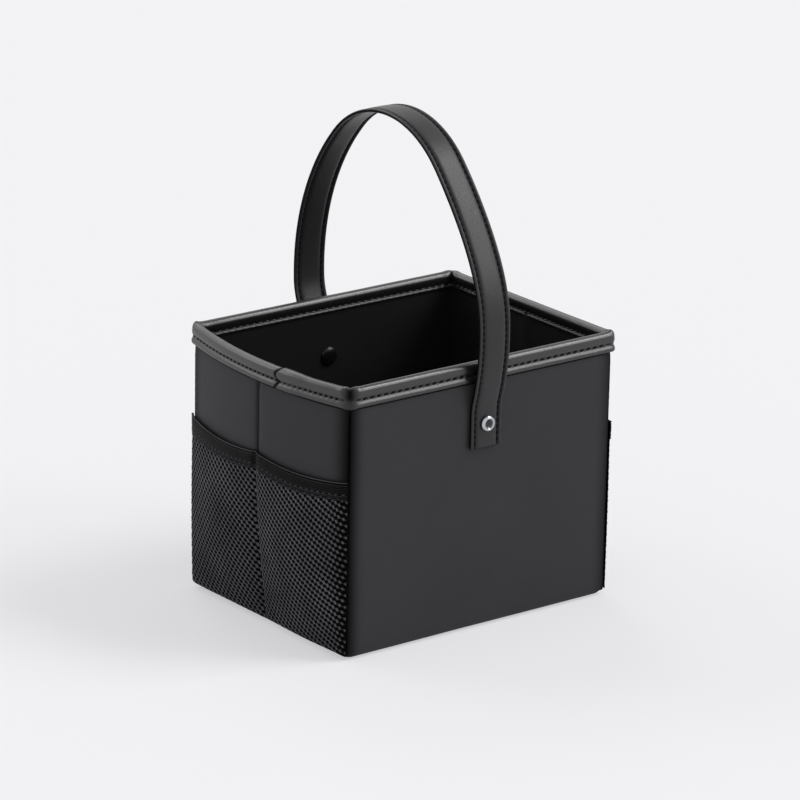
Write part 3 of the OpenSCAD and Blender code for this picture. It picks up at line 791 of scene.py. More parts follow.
def rim_stations():
    """Stations round the rim as (kind, number, share); the share goes from 0 to 1 along a corner or run."""
    stations = []
    for k, length in enumerate(RIM_RUNS):
        stations += [("corner", k, t) for t in np.linspace(0, 1, 13)[:-1]]
        # Close together beside the corners, where the strip is gathered
        span = length - 2 * RIM_CORNER_R
        near, fine, coarse = 8 * MM / span, 0.8 * MM / span, 1.0 * MM / span
        shares = np.concatenate([steps(0, near, fine), steps(near, 1 - near, coarse)[1:],
                                 steps(1 - near, 1, fine)[1:]])
        if k == LEFT_RUN:
            # Closer still round the lap on the left rim
            lap = (HALF_D - RIM_CORNER_R - LAP_Y) / span
            begin, end = lap - 6 * MM / span, lap + 1.5 * MM / span
            shares = np.concatenate([shares[shares < begin], steps(begin, end, 0.22 * MM / span),
                                     shares[shares > end]])
        stations += [("run", k, s) for s in shares[:-1]]
    return stations


def rim_point(station, depth, z):
    """Point on the line that lies depth inside the rim's outer plan at a station."""
    kind, k, t = station
    a, b = HALF_W - depth, HALF_D - depth
    r = max(RIM_CORNER_R - depth, 0.25 * MM)
    centres = ((a - r, r - b), (a - r, b - r), (r - a, b - r), (r - a, r - b))
    start = (k - 1) * pi / 2
    if kind == "corner":
        angle = start + t * pi / 2
        return centres[k][0] + r * cos(angle), centres[k][1] + r * sin(angle), z
    out = r * np.array([cos(start + pi / 2), sin(start + pi / 2)])
    begin, end = np.array(centres[k]) + out, np.array(centres[(k + 1) % 4]) + out
    x, y = begin + (end - begin) * t
    return x, y, z


def rim_stitches(k):
    """Number of whole stitches on a run of the rim."""
    sizes = box_sizes()
    return round(RIM_RUNS[k] / (sizes.side_stitch, sizes.end_stitch)[k % 2])


def rim_place(station):
    """Distance of a station from its nearest corner, that corner's number, and the distance along the rim."""
    kind, k, t = station
    if kind == "corner":
        return abs(t - 0.5) * RIM_CORNER_R * 1.6, k, sum(RIM_RUNS[:k])
    near = min(t, 1 - t) * RIM_RUNS[k] + RIM_CORNER_R * 0.8
    return near, k if t < 0.5 else (k + 1) % 4, sum(RIM_RUNS[:k]) + t * RIM_RUNS[k]


def lap_place(z):
    """Place on the left rim where the strip's upper end is cut: in an arc over the roll, aslant below it."""
    down = RIM_TOP - z
    arc = LAP_ARC * np.sin(pi * np.clip(down / (STITCH_DOWN - 0.6 * MM), 0, 1))
    return LAP_Y + arc + LAP_ARC * np.clip((down - STITCH_DOWN) / (4.5 * MM), 0, 1)


def binding_line(beat, out, roll, ear):
    """The strip's outer face, from its outer edge over the roll to its inner edge.

    Each point has its distance in from the outer plan, its height, its painted shade, and its way out as
    inwards and upwards. beat is 1 between two stitches and 0 under a thread, which presses the strip in and
    darkens its groove with painted shade.
    """
    groove, thread = (0.95 - 0.6 * beat) * MM, 1 - beat
    low, low_in, row, middle = RIM_OUT_LOW, RIM_IN_LOW, STITCH_ROW, WALL_T / 2
    line = [
        (0.35 * MM, low + 0.1 * MM, 1.0, -1, 0),
        (-out * 0.5, low - 0.05 * MM, 1.0, -1, 0),
        (-out * 1.0, low + 0.15 * MM, 0.8, -1, 0),
        (-out * 1.35, low + 0.45 * MM, 0.3, -1, 0),
        (-out * 1.55, low + 0.95 * MM, 0.0, -1, 0),
        (-out * 1.6, row - 3.0 * MM, 0.0, -1, 0),
        (-out * 1.4, row - 2.2 * MM, 0.0, -1, 0),
        (-out * 1.1, row - 1.6 * MM, 0.0, -1, 0),
        (-out * 0.75 + groove * 0.1, row - 1.0 * MM, 0.0, -1, 0),
        (groove * 0.7 - out * 0.9, row - 0.5 * MM, 0.3 * thread, -1, 0),
        (groove * 1.1 - out, row, 0.9 * thread, -1, 0),
        (groove * 0.9 - out * 0.95, row + 0.45 * MM, 0.3 + 0.6 * thread, -1, 0),
        (groove * 0.5 - out * 1.0, row + 0.95 * MM, 0.2, -1, 0),
        (-out * 1.0, row + 1.6 * MM, 0.05, -1, 0),
        (-out * 1.18, row + 2.5 * MM, 0.0, -1, 0),
        (-out * 1.2, row + 3.3 * MM, 0.0, -1, 0)]
    for a in np.linspace(0, pi, 15):
        lift = sin(a)
        line.append((middle - (roll + 0.15 * MM * lift) * cos(a), RIM_TOP - ROLL_R + roll * lift + ear * lift,
                     0.0, -cos(a), lift))
    return line + [
        (WALL_T + out * 1.05 - 0.1 * MM, row + 1.6 * MM, 0.0, 1, 0),
        (WALL_T + out * 1.02 - groove, row + 0.6 * MM, 0.2 + 0.5 * thread, 1, 0),
        (WALL_T + out - groove * 1.1, row, 0.9 * thread, 1, 0),
        (WALL_T + out * 1.02 - groove, row - 0.5 * MM, 0.4 * thread, 1, 0),
        (WALL_T + out * 0.95, low_in + 1.6 * MM, 0.1, 1, 0),
        (WALL_T + out * 1.0, low_in + 0.8 * MM, 0.3, 1, 0),
        (WALL_T + out * 0.8, low_in + 0.1 * MM, 0.8, 1, 0),
        (WALL_T + out * 0.4, low_in - 0.05 * MM, 1.0, 1, 0),
        (WALL_T - 0.35 * MM, low_in + 0.1 * MM, 1.0, 1, 0)]


def binding_section(beat, along, near, corner, y, on_left):
    """Section of the binding at a station, as (distance in from the outer plan, height, painted shade)."""
    place = np.array(along)
    uneven = 0.18 * MM * wave(31, place, cell=45 * MM) + 0.1 * MM * wave(32, place, cell=12 * MM)
    # The strip is pinched at the front left and back right corners, and stretched round the others
    gathered = corner in GATHERED_CORNERS
    pinch = np.exp(-(near / (2.8 * MM)) ** 2) if gathered else 0.0
    notch = np.exp(-(near / (1.5 * MM)) ** 2) if corner == BACK_LEFT else 0.0
    swell = np.exp(-((near - 5.0 * MM) / (3 * MM)) ** 2) * (0.35 * MM if gathered else 0.15 * MM)
    ear = (0.6 * MM if gathered else 1.1 * MM) * np.exp(-(near / (3.2 * MM)) ** 2)
    roll = ROLL_R + swell + uneven * 0.4 - 0.9 * MM * pinch
    section = []
    for d, z, shade_and_edge_paint, way_in, way_up in binding_line(beat, BINDING_T + uneven * 0.5, roll, ear):
        if d < WALL_T / 2:
            # A pinched corner folds in where the walls' padding sinks to their seam, but never through it
            if d <= 0:
                pull = 1.5 * MM * pinch * ease((z - RIM_OUT_LOW) / (3 * MM))
                d = min(d + pull, 1.1 * MM * pinch - 0.12 * MM)
            # Painted shade in the fold, darkest on the roll and running out towards the lip
            painted_shade = 0.97 * pinch ** 0.7 * (0.45 + 0.55 * ease((z - STITCH_ROW + 1 * MM) / (3 * MM)))
            z, shade_and_edge_paint = z - 0.4 * MM * pinch, max(shade_and_edge_paint, painted_shade)
        else:
            # At the back left corner the roll dents in at a notch, with painted shade in it
            d, z = d - 1.3 * MM * notch * way_up, z - 0.9 * MM * notch * way_up
            shade_and_edge_paint = max(shade_and_edge_paint, notch)
        if on_left:
            # The front end of the strip lies on the back end, with a slit at its cut edge that is painted in
            # shade
            past = y - lap_place(z)
            step = 0.7 * MM * ease(0.5 - past / (0.4 * MM)) * ease((y - LAP_Y + LAP_LEN) / LAP_FADE)
            slit = ease((1.6 * MM - abs(past - 1.6 * MM)) / (0.5 * MM))
            step = step - 0.3 * MM * slit
            if not 0 <= d <= WALL_T or way_up:
                d, z = d + step * way_in, z + step * way_up
            # Painted shade in the slit
            shade_and_edge_paint = max(shade_and_edge_paint, slit)
        section.append((d, z, shade_and_edge_paint))
    return section


def build_binding():
    """The strip of leatherette that is rolled over the rim."""
    rows_out, rows_in, shade_and_edge_paint = [], [], []
    for station in rim_stations():
        near, corner, along = rim_place(station)
        y = rim_point(station, 0.0, 0.0)[1]
        kind, k, t = station
        beat = 0.5 + 0.5 * cos(2 * pi * rim_stitches(k) * t) if kind == "run" else 1.0
        section = binding_section(beat, along, near, corner, y, kind == "run" and k == LEFT_RUN)
        rows_out.append([rim_point(station, d, z) for d, z, _ in section])
        # The strip's inner face lies close to the walls' faces and their top edge
        under = RIM_TOP - (1.9 * MM if near > 8 * MM else 4.2 * MM)
        thin = 0.35 * MM
        rows_in.append([rim_point(station, min(max(d + 0.3 * MM, thin), WALL_T - thin), min(z, under))
                        for d, z, _ in section])
        # Painted shade of each point, for the material
        shade_and_edge_paint.append([mark for _, _, mark in section])
    outer, inner = bowed(np.array(rows_out)), bowed(np.array(rows_in))
    piece = make_shell("rim_binding_strip", outer, inner, np.array(shade_and_edge_paint), loop_rows=True, sharp=65)
    finish_piece(piece, material_for("binding_leatherette"), "box", ["rim_binding"])


# Stitches

def capsule_row(name, places, body, material, radius):
    """Sewing stitches as one mesh of short bent threads, each a (middle, way along, way out, length)."""
    sides, rings = 6, 7
    points, faces = [], []
    for middle, way, out, length in places:
        middle, way, out = np.array(middle), np.array(way), np.array(out)
        way = way / np.linalg.norm(way)
        out = out - way * (out @ way)
        out = out / np.linalg.norm(out)
        across = np.cross(way, out)
        faces += [[len(points) + n for n in face] for face in capped_faces(rings, sides)]
        for t in np.linspace(-1, 1, rings):
            # Both ends dive into the needle holes
            centre = middle + way * (t * length / 2) + out * (radius * (0.55 - 1.6 * abs(t) ** 3))
            r = radius * sqrt(max(0.04, 1 - 0.75 * abs(t) ** 4))
            points += [centre + r * (cos(a) * across + 0.8 * sin(a) * out)
                       for a in np.linspace(0, 2 * pi, sides, endpoint=False)]
    piece = make_object(name, points, faces, sharp=180)
    return finish_piece(piece, material, body)


def sew_rim():
    """Stitch rows of the rim, outside and inside."""
    # Outside a thread lies a little below the strip's plan, and inside it stands out
    for name, depth, sign, thread in (("rim_stitches_outside", -0.28 * MM, 1, "dark_thread"),
                                      ("rim_stitches_inside", WALL_T + 0.3 * MM, -1, "under_thread")):
        places = []
        for k, length in enumerate(RIM_RUNS):
            count, margin = rim_stitches(k), 4.5 * MM / length
            for t in (np.arange(count) + 0.5) / count:
                if not margin < t < 1 - margin:
                    continue
                here, there = (bowed(np.array(rim_point(("run", k, s), depth, STITCH_ROW)))
                               for s in (t, t + 0.5 * MM / length))
                # A lockstitch lies a little aslant
                way = there - here + np.array([0, 0, 0.09 * MM * sign])
                across = np.array([there[1] - here[1], here[0] - there[0], 0.0]) * sign
                places.append((here, way, across, 0.72 * length / count))
        capsule_row(name, places, "box", material_for(thread), box_sizes().thread_r)


# Side pockets

def pocket_arch(y):
    """How free the pocket is at a place: 0 at its seams and 1 in the middle of a compartment."""
    return np.sin(pi * np.clip(np.abs(y) / POCKET_HALF, 0, 1))


def pocket_face(y, z):
    """How far the pocket's fabric stands out from the wall's plane."""
    arch, share = pocket_arch(y), np.clip((z - MESH_LOW.z) / (BAND_HIGH.z - MESH_LOW.z), 0, 1)
    # The elastic holds the mouth close to the wall, and the knit below it swells
    bulge = 0.5 * MM + POCKET_BULGE * np.sin(pi * share ** 0.85)
    seam = 0.8 * MM * np.exp(-(np.abs(y) / (2.5 * MM)) ** 2)
    edge = 1.5 * MM * np.exp(-((POCKET_HALF - np.abs(y)) / (3.0 * MM)) ** 2)
    slack = 1.0 * MM * wave(41, y, z, cell=50 * MM) * arch * (1 - share)
    return 0.5 * MM + bulge * arch ** 0.8 - seam - edge + slack


def mouth_z(y):
    """Height of the pocket's mouth, which sags in each compartment."""
    return BAND_HIGH.z + 1.8 * MM - MOUTH_SAG * pocket_arch(y)


def pocket_point(side, y, z, out):
    """Point of a pocket's fabric that stands out from its back by out."""
    point = np.stack(np.broadcast_arrays(side * (HALF_W + pocket_face(y, z) + out), y, z), -1)
    return bowed(point) if side == LEFT else point


def loops(ahead, up):
    """Relief of the knitted mesh from 0 in a gap to 1 on a loop, at places towards the front and upwards.

    The loops lie in chains that fall towards the front, and the whole knit is turned a little in its frame.
    """
    pitch, forward = box_sizes().mesh_pitch, ahead / POCKET_HALF
    # They fall by 34 degrees at the middle seam, by 26 at the front end and by 36 at the back end
    turn = radians(34) - radians(8) * np.clip(forward, 0, 1) - radians(2) * np.clip(forward, -1, 0)
    along = (ahead * np.cos(turn) - up * np.sin(turn)) / pitch
    across = (ahead * np.sin(turn) + up * np.cos(turn)) / pitch
    drift = 0.22 * wave(43, ahead, up, cell=45 * MM)
    ridge = (0.5 + 0.5 * np.cos(2 * pi * (across + drift))) ** 1.35
    bead = 0.5 + 0.5 * np.cos(2 * pi * (along + 0.35 * np.sin(2 * pi * (across + drift)) / pi + drift))
    link = 0.6 * bead ** 2 * (1 - ridge)
    return ridge * (0.48 + 0.52 * bead ** 0.5) + link


def build_mesh(side):
    """The knitted mesh of one pocket: chains of loops with gaps between them."""
    half, bottom = POCKET_HALF - 0.2 * MM, MESH_LOW.z
    y = steps(-half, half, MESH_COLUMN)[None, :]
    z = bottom + (mouth_z(y) - BAND_DEEP - bottom) * np.linspace(0, 1, MESH_ROWS)[:, None]
    y = y + 0 * z
    # The seams and the hem pull the knit flat
    calm = ease((half - np.abs(y)) / (1 * MM)) * ease(np.abs(y) / (0.9 * MM))
    calm = 0.25 + 0.75 * calm * ease((z - bottom) / (2.5 * MM))
    knit = loops(-y, z)
    relief = box_sizes().mesh_relief * knit * calm
    outer, inner = (pocket_point(side, y, z, out) for out in (0.35 * MM + relief, 0 * y))
    # Painted shade: the gaps between the loops are painted near black, and the knit is painted darker towards
    # the corner seams
    lit = 1 - 0.3 * np.clip(1 - (half - np.abs(y)) / (11 * MM), 0, 1) ** 1.5
    name = side_name(side)
    piece = make_shell(name + "_mesh_knit", outer, inner, 1 - knit * lit, sharp=180)
    finish_piece(piece, material_for("pocket_mesh"), "box", [name + "_pocket_mesh"])


# Section of the elastic, as (distance down from its top and distance out, in mm, and its painted shade, 1 in
# the valleys between its ribs)
BAND_SECTION = (
    (0.15, 0.0, 1.0), (0.0, 0.5, 0.8), (0.2, 1.3, 0.3), (0.5, 1.55, 0.1), (0.8, 1.3, 0.6),
    (1.1, 0.9, 1.0), (1.5, 0.9, 1.0), (1.8, 1.3, 0.6), (2.05, 1.5, 0.3), (2.3, 1.3, 0.6),
    (2.7, 1.0, 1.0), (3.1, 1.3, 0.4), (3.6, 1.18, 0.7), (4.1, 1.36, 0.45), (4.6, 1.2, 0.7),
    (5.1, 1.38, 0.45), (5.6, 1.2, 0.7), (6.1, 1.36, 0.45), (6.6, 1.18, 0.7), (7.0, 1.3, 0.4),
    (7.4, 1.0, 0.95), (7.8, 1.0, 0.95), (8.3, 1.3, 0.3), (8.75, 1.2, 0.9), (9.2, 1.35, 0.3),
    (9.6, 1.0, 1.0), (9.9, 1.0, 1.0), (10.4, 1.3, 0.3), (10.9, 1.3, 0.7), (11.3, 0.9, 1.0),
    (11.4, 0.4, 1.0), (11.3, 0.0, 1.0),
)


def build_band(side):
    """The elastic band at the mouth of one pocket, with its woven ribs."""
    middle = 3 * MM
    y = np.concatenate([steps(-POCKET_HALF, -middle, 1.6 * MM), steps(-middle, middle, 0.5 * MM)[1:],
                        steps(middle, POCKET_HALF, 1.6 * MM)[1:]])[:, None]
    down, out, shade_mask = np.array(BAND_SECTION).T
    gather = 1 - 0.25 * np.exp(-(y / (1.2 * MM)) ** 2)
    rings = pocket_point(side, y, mouth_z(y) - down * MM, out * MM * gather)
    name = side_name(side)
    # Painted shade in the valleys between the ribs
    piece = make_tube(name + "_elastic", rings, shade_mask + 0 * y, sharp=60)
    finish_piece(piece, material_for("elastic_band"), "box", [name + "_pocket_band"])


def sew_band(side):
    """Stitch row along the elastic of one pocket, with a space at the middle seam."""
    sizes, places = box_sizes(), []
    for s in steps(2 * MM - POCKET_HALF, POCKET_HALF - 2 * MM, sizes.band_stitch):
        if abs(s) < 2 * MM:
            continue
        here, there = (pocket_point(side, y, mouth_z(y) - BAND_STITCH_DOWN, 1.15 * MM)
                       for y in (s, s + 0.6 * MM))
        places.append((here, there - here, (side, 0, 0), sizes.band_stitch * 0.5))
    name = side_name(side) + "_band_stitches"
    capsule_row(name, places, "box", material_for("band_thread"), sizes.thread_r * 0.6)


# Strap

def strap_curve():
    """Middle line of the strap from its back end over the top to its front end, as (y, z, way out)."""
    half, crown = STRAP_HIGH.y - STRAP_T / 2, CROWN_R - STRAP_T / 2
    spring_z, crown_z = RIM_TOP + SPRING_RISE, STRAP_HIGH.z - CROWN_R
    # Each side is an arc that runs on into the crown's arc, and below into the arc of its foot
    side_r = (half ** 2 + (crown_z - spring_z) ** 2 - crown ** 2) / (2 * (half - crown))
    side_y = half - side_r
    crown_turn = atan2(crown_z - spring_z, -side_y)
    tab_y = HALF_D + SWING_GAP + STRAP_T / 2
    foot_turn = acos(1 - (half - tab_y) / (FOOT_R + side_r))
    foot_z = spring_z - (side_r + FOOT_R) * sin(foot_turn)
    fine = 1.0 * MM
    foot_turns = steps(0, foot_turn, fine / FOOT_R)[1:]
    side_turns = steps(-foot_turn, crown_turn, fine / side_r)[1:]
    crown_turns = steps(crown_turn, pi - crown_turn, fine / crown)[1:-1]
    leg = [(tab_y, z) for z in steps(STRAP_LOW.z, foot_z, fine)]
    leg += [(tab_y + FOOT_R * (1 - cos(a)), foot_z + FOOT_R * sin(a)) for a in foot_turns]
    leg += [(side_y + side_r * cos(a), spring_z + side_r * sin(a)) for a in side_turns]
    top = [(crown * cos(a), crown_z + crown * sin(a)) for a in crown_turns]
    line = np.array(leg + top + [(-y, z) for y, z in reversed(leg)])
    # The soft strap leans to the back
    start, run = np.where(line[:, :1] < 0, LEAN_FRONT, LEAN_BACK).T
    line[:, 0] += box_sizes().strap_lean * ease((line[:, 1] - start) / run)
    step = np.gradient(line, axis=0)
    return np.column_stack([line, np.unwrap(np.arctan2(-step[:, 0], step[:, 1]))])


def layer_section():
    """Section of one layer of the strap from edge to edge, as (places across, heights of its face)."""
    full = STRAP_T / 2
    over_filler = [(STRAP_ROW * share, full * high)
                   for share, high in ((0, 1), (0.35, 0.99), (0.62, 0.95), (0.8, 0.86))]
    over_filler.append((STRAP_ROW - 1.3 * MM, full * 0.74))
    through_row = [(STRAP_ROW + beside * MM, STRAP_FLAT * high) for beside, high in
                   ((-0.75, 0.72), (-0.35, 0.42), (0, 0.3), (0.35, 0.48), (0.8, 1), (1.3, 1.3))]
    to_edge = [(STRAP_HALF - inset * MM, STRAP_FLAT * high)
               for inset, high in ((1.1, 1.3), (0.5, 1), (0.1, 0.5))]
    across, height = np.array(over_filler + through_row + to_edge + [(STRAP_HALF, 0.03 * MM)]).T
    return np.concatenate([-across[:0:-1], across]), np.concatenate([height[:0:-1], height])


def swept(line, across, height):
    """Points at a height over the strap's middle line, for each place along it and across it."""
    y, z, out = (line[:, i][:, None] for i in range(3))
    return np.stack(np.broadcast_arrays(across, y + height * np.cos(out), z + height * np.sin(out)), -1)


def build_strap():
    """Both leatherette faces of the strap, padded between their stitch rows."""
    line = strap_curve()
    s = run_lengths(line)[:, None]
    total = s[-1, 0]
    across, height = (part[None, :] for part in layer_section())
    near_row = np.exp(-((np.abs(across) - STRAP_ROW) / (0.9 * MM)) ** 2)
    beat = 0.5 + 0.5 * np.cos(2 * pi * s / box_sizes().strap_stitch)
    inside = 0.02 * MM + 0.45 * MM * np.clip((STRAP_ROW - 1.2 * MM - np.abs(across)) / (2 * MM), 0, 1)
    # Both ends are cut square with soft corners, and all the cut edges are painted black
    soft = np.sqrt(np.clip(np.minimum(s, total - s) / (1.0 * MM), 0, 1))
    painted = ease((np.abs(across) - STRAP_HALF + 0.45 * MM) / (0.3 * MM))
    # Painted shade along the stitch rows, deepest under a thread, with the cut edges' real black paint
    shade_and_edge_paint = np.maximum(near_row * (0.95 - 0.4 * beat), painted)
    for name, sign, seed in (("outer", 1, 51), ("inner", -1, 61)):
        face = height - 0.2 * MM * near_row * (1 - beat)
        face = face + 0.07 * MM * wave(seed, s, across, cell=20 * MM) * (height / height.max())
        if name == "inner":
            # The inner face is crinkled where the strap bends
            bend = ease((s - total * 0.28) / (total * 0.1)) * ease((total * 0.72 - s) / (total * 0.1))
            face = face + 0.12 * MM * bend * wave(71, s * 3, across * 0.5, cell=20 * MM)
        face = np.maximum(face * (0.55 + 0.45 * soft), inside + 0.05 * MM)
        outer, inner = swept(line, across, sign * face), swept(line, across, sign * inside)
        piece = make_shell(f"strap_{name}_face", outer, inner, shade_and_edge_paint, sharp=70)
        finish_piece(piece, material_for("strap_leatherette"), "handle",
                     [f"handle_{name}_layer"])


def build_filler():
    """The soft filler between the strap's two faces, hidden by them."""
    line = strap_curve()
    edge, full = STRAP_ROW - 1.3 * MM, STRAP_ROW - 2.5 * MM
    across = np.array([-edge, -full, full, edge])[None, :]
    height = np.array([0.05, 0.4, 0.4, 0.05])[None, :] * MM
    piece = make_shell("strap_foam", swept(line, across, height), swept(line, across, -height), sharp=30)
    finish_piece(piece, material_for("strap_filler"), "handle", ["handle_filler"])


def sew_strap():
    """Two stitch rows on each face of the strap."""
    line, sizes = strap_curve(), box_sizes()
    along, pitch = run_lengths(line), sizes.strap_stitch

    def spot(s, x, sign):
        """A point of a row on one face, just above the film that the thread presses in, and its way out."""
        y, z, out = (np.interp(s, along, line[:, i]) for i in range(3))
        way = np.array([0.0, sign * cos(out), sign * sin(out)])
        return np.array([x, y, z]) + way * STRAP_FLAT * 0.35, way

    for name, sign in (("outer", 1), ("inner", -1)):
        places = []
        for n in range(1, int(along[-1] / pitch)):
            s = (n + 0.5) * pitch
            if s > along[-1] - STRAP_STITCH:
                continue
            for x in (-STRAP_ROW, STRAP_ROW):
                (here, way), (there, _) = spot(s, x, sign), spot(s + 0.5 * MM, x, sign)
                places.append((here, there - here, way, pitch * 0.75))
        capsule_row(f"strap_stitches_{name}", places, "handle", material_for("dark_thread"),
                    sizes.thread_r * 0.95)


# Hardware

# Section of a rivet's cap, as (share of its radius, distance back from its face in mm, and its painted shade
# and dark reflection, from 0 to 1)
RIVET_CAP = (
    (0.02, 1.2, 1.0), (0.2, 1.15, 1.0), (0.38, 0.98, 1.0), (0.5, 0.66, 0.9), (0.57, 0.34, 0.55),
    (0.63, 0.12, 0.1), (0.7, 0.0, 0.0), (0.78, 0.08, 0.0), (0.86, 0.34, 0.0), (0.93, 0.76, 0.0),
    (0.98, 1.3, 0.1), (1.0, 1.8, 0.3), (0.97, 2.2, 0.7), (0.9, 2.4, 1.0),
)
CAP_T = 2.4 * MM
SHANK_R = 1.7 * MM


def build_rivets():
    """Outer halves of both rivets: a stamped cap with a rolled edge and a dished middle, on its shank."""
    turns = np.linspace(0, 2 * pi, 48, endpoint=False)
    for name in ("front_rivet", "back_rivet"):
        low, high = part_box(name)
        cap_r, length = (high.x - low.x) / 2, high.y - low.y
        end, face = (-1, low.y) if low.y < 0 else (1, high.y)
        section = [(cap_r * share, back * MM, painted_shade) for share, back, painted_shade in RIVET_CAP]
        section += [(SHANK_R + 0.3 * MM, CAP_T, 1.0), (SHANK_R, CAP_T + 0.3 * MM, 1.0),
                    (SHANK_R, length, 1.0), (0.1 * SHANK_R, length, 1.0)]
        rings = np.array([[(r * cos(t), face - end * back, RIVET_Z + r * sin(t)) for t in turns]
                          for r, back, _ in section])
        # Painted shade and dark reflection of each ring, for the material
        depth = np.repeat([painted_shade for _, _, painted_shade in section], len(turns))
        piece = make_tube(name + "_turned", rings, depth, sharp=40)
        finish_piece(piece, material_for("chrome_rivet"), "box", [name])


def paint_cad_nodes():
    """Materials of the CAD pieces that stay in view or inside."""
    slots = {row["node"]: row["material_slot"] for row in frame["record"]["subparts"]}
    for name, node in frame["nodes"].items():
        if not node.hide_render:
            node.data.materials.clear()
            node.data.materials.append(material_for(slots[name]))


# Stage

# Where the camera stands and looks, from the box's own frame
CAMERA_FOCAL_PX = 4801.0
CAMERA_YAW = -37.99
CAMERA_PITCH = 18.29
CAMERA_ROLL = 1.15
CAMERA_PLACE = (-1.6557, -2.1179, 1.0077)
PICTURE_PX = 800
SENSOR_MM = 36.0

# Soft boxes, with the height, the turn from the front and the width of each in degrees, and its share of the
# floor's light
SoftBox = namedtuple("SoftBox", "name height turn width share")
SOFT_BOXES = (
    SoftBox("softbox_main", 48, 60, 24, 0.28),
    SoftBox("softbox_low", 25, 42, 24, 0.09),
    SoftBox("softbox_back", 45, 160, 24, 0.07),
    SoftBox("softbox_left_back", 38, 198, 26, 0.05),
    SoftBox("softbox_left_low", 22, 217, 24, 0.03),
)
WORLD_LIGHT = 0.46
# The paper lies a little below the box's feet, and the eye sees this share of it at its plain colour
PAPER_SIZE = 12.0
PAPER_DOWN = 0.2 * MM
PAPER_SEEN = 0.55


def set_camera():
    """A long lens at the height and side from which the front and left walls show."""
    data = bpy.data.cameras.new("camera")
    data.sensor_width = SENSOR_MM
    data.lens = CAMERA_FOCAL_PX * SENSOR_MM / PICTURE_PX
    data.clip_start, data.clip_end = 0.1, 30.0
    yaw, pitch, roll = radians(CAMERA_YAW), radians(CAMERA_PITCH), radians(CAMERA_ROLL)
    ahead = Vector((-sin(yaw) * cos(pitch), cos(yaw) * cos(pitch), -sin(pitch)))
    level = Vector((cos(yaw), sin(yaw), 0.0))
    up = level.cross(ahead)
    right, above = cos(roll) * level + sin(roll) * up, cos(roll) * up - sin(roll) * level
    matrix = Matrix((right, above, -ahead)).transposed().to_4x4()
    matrix.translation = Vector(CAMERA_PLACE)
    camera = bpy.data.objects.new("camera", data)
    bpy.context.scene.collection.objects.link(camera)
    camera.matrix_world = matrix
    bpy.context.scene.camera = camera


def add_lamp(box):
    """A far soft box, as a sun of that angular width whose light makes up that share of the floor's light."""
    data = bpy.data.lights.new(box.name, "SUN")
    data.angle = radians(box.width)
    data.energy = box.share * pi / max(0.1, sin(radians(box.height)))
    lamp = bpy.data.objects.new(box.name, data)
    height, turn = radians(box.height), radians(box.turn)
    way = Vector((sin(turn) * cos(height), -cos(turn) * cos(height), sin(height)))
    lamp.location = way * 2
    lamp.rotation_mode = "QUATERNION"
    lamp.rotation_quaternion = way.to_track_quat("Z", "Y")
    bpy.context.scene.collection.objects.link(lamp)


def set_floor():
    """Pale matt paper under and behind the box."""
    bpy.ops.mesh.primitive_plane_add(size=PAPER_SIZE, location=(0, 0, -PAPER_DOWN))
    floor = bpy.context.object
    floor.name = "studio_floor"
    material, tree, shader = start_material("studio_paper", **{"Roughness": 0.95, "IOR": 1.3})
    # Paper is cloudy in spots of about 2.5 mm
    fibres = add_node(tree, "ShaderNodeTexNoise", {"Scale": 1 / (2.5 * MM), "Detail": 2.0})
    base = linear(box_colours().floor)
    colour = add_node(tree, "ShaderNodeMix", {AMOUNT: fibres.outputs["Fac"], FIRST: tone(base, 0.995),
                                              SECOND: tone(base, 1.005)}, data_type="RGBA")
    tree.links.new(colour.outputs[RESULT], shader.inputs["Base Color"])
    # The eye sees the paper partly at its plain colour, so that its shadow stays as light as in a light tent
    paper = add_node(tree, "ShaderNodeEmission", {"Color": base, "Strength": 1.0})
    rays = add_node(tree, "ShaderNodeLightPath")
    seen = add_node(tree, "ShaderNodeMath", {0: rays.outputs["Is Camera Ray"], 1: PAPER_SEEN},
                    operation="MULTIPLY")
    mix = add_node(tree, "ShaderNodeMixShader", {0: seen.outputs["Value"], 1: shader.outputs["BSDF"],
                                                 2: paper.outputs["Emission"]})
    tree.links.new(mix.outputs["Shader"], tree.get_output_node("ALL").inputs["Surface"])
    floor.data.materials.append(material)


def set_world():
    """Even pale surroundings; the eye, mirrors and clear things see the backdrop's own colour."""
    world = bpy.data.worlds.new("studio")
    bpy.context.scene.world = world
    world.use_nodes = True
    tree = world.node_tree
    tree.nodes.clear()
    rays = add_node(tree, "ShaderNodeLightPath").outputs
    seen = rays["Is Camera Ray"]
    for ray in ("Is Glossy Ray", "Is Transmission Ray"):
        seen = add_node(tree, "ShaderNodeMath", {0: seen, 1: rays[ray]}, operation="ADD").outputs["Value"]
    lit = add_node(tree, "ShaderNodeBackground", {"Color": WHITE, "Strength": WORLD_LIGHT})
    shown = add_node(tree, "ShaderNodeBackground", {"Color": linear(box_colours().floor), "Strength": 1.0})
    mix = add_node(tree, "ShaderNodeMixShader", {0: seen, 1: lit.outputs["Background"],
                                                 2: shown.outputs["Background"]})
    add_node(tree, "ShaderNodeOutputWorld", {"Surface": mix.outputs["Shader"]})


def set_lights():
    """Soft boxes: two at the right front and three behind, which draw the shine along rim and strap."""
    for box in SOFT_BOXES:
        add_lamp(box)


# Operators

class STORAGE_BOX_OT_wrap(Operator):
    """Makes the padded front, underside and back in one strip"""

    bl_idname = "storage_box.wrap"
    bl_label = "Wrap"
    bl_options = {"REGISTER", "UNDO"}

    def execute(self, context):
        build_wrap()
        return {"FINISHED"}


class STORAGE_BOX_OT_sides(Operator):
    """Makes both side walls and the left wall's boards"""

    bl_idname = "storage_box.sides"
    bl_label = "Side Walls"
    bl_options = {"REGISTER", "UNDO"}

    def execute(self, context):
        for side in (LEFT, RIGHT):
            build_side(side)
        build_boards()
        return {"FINISHED"}


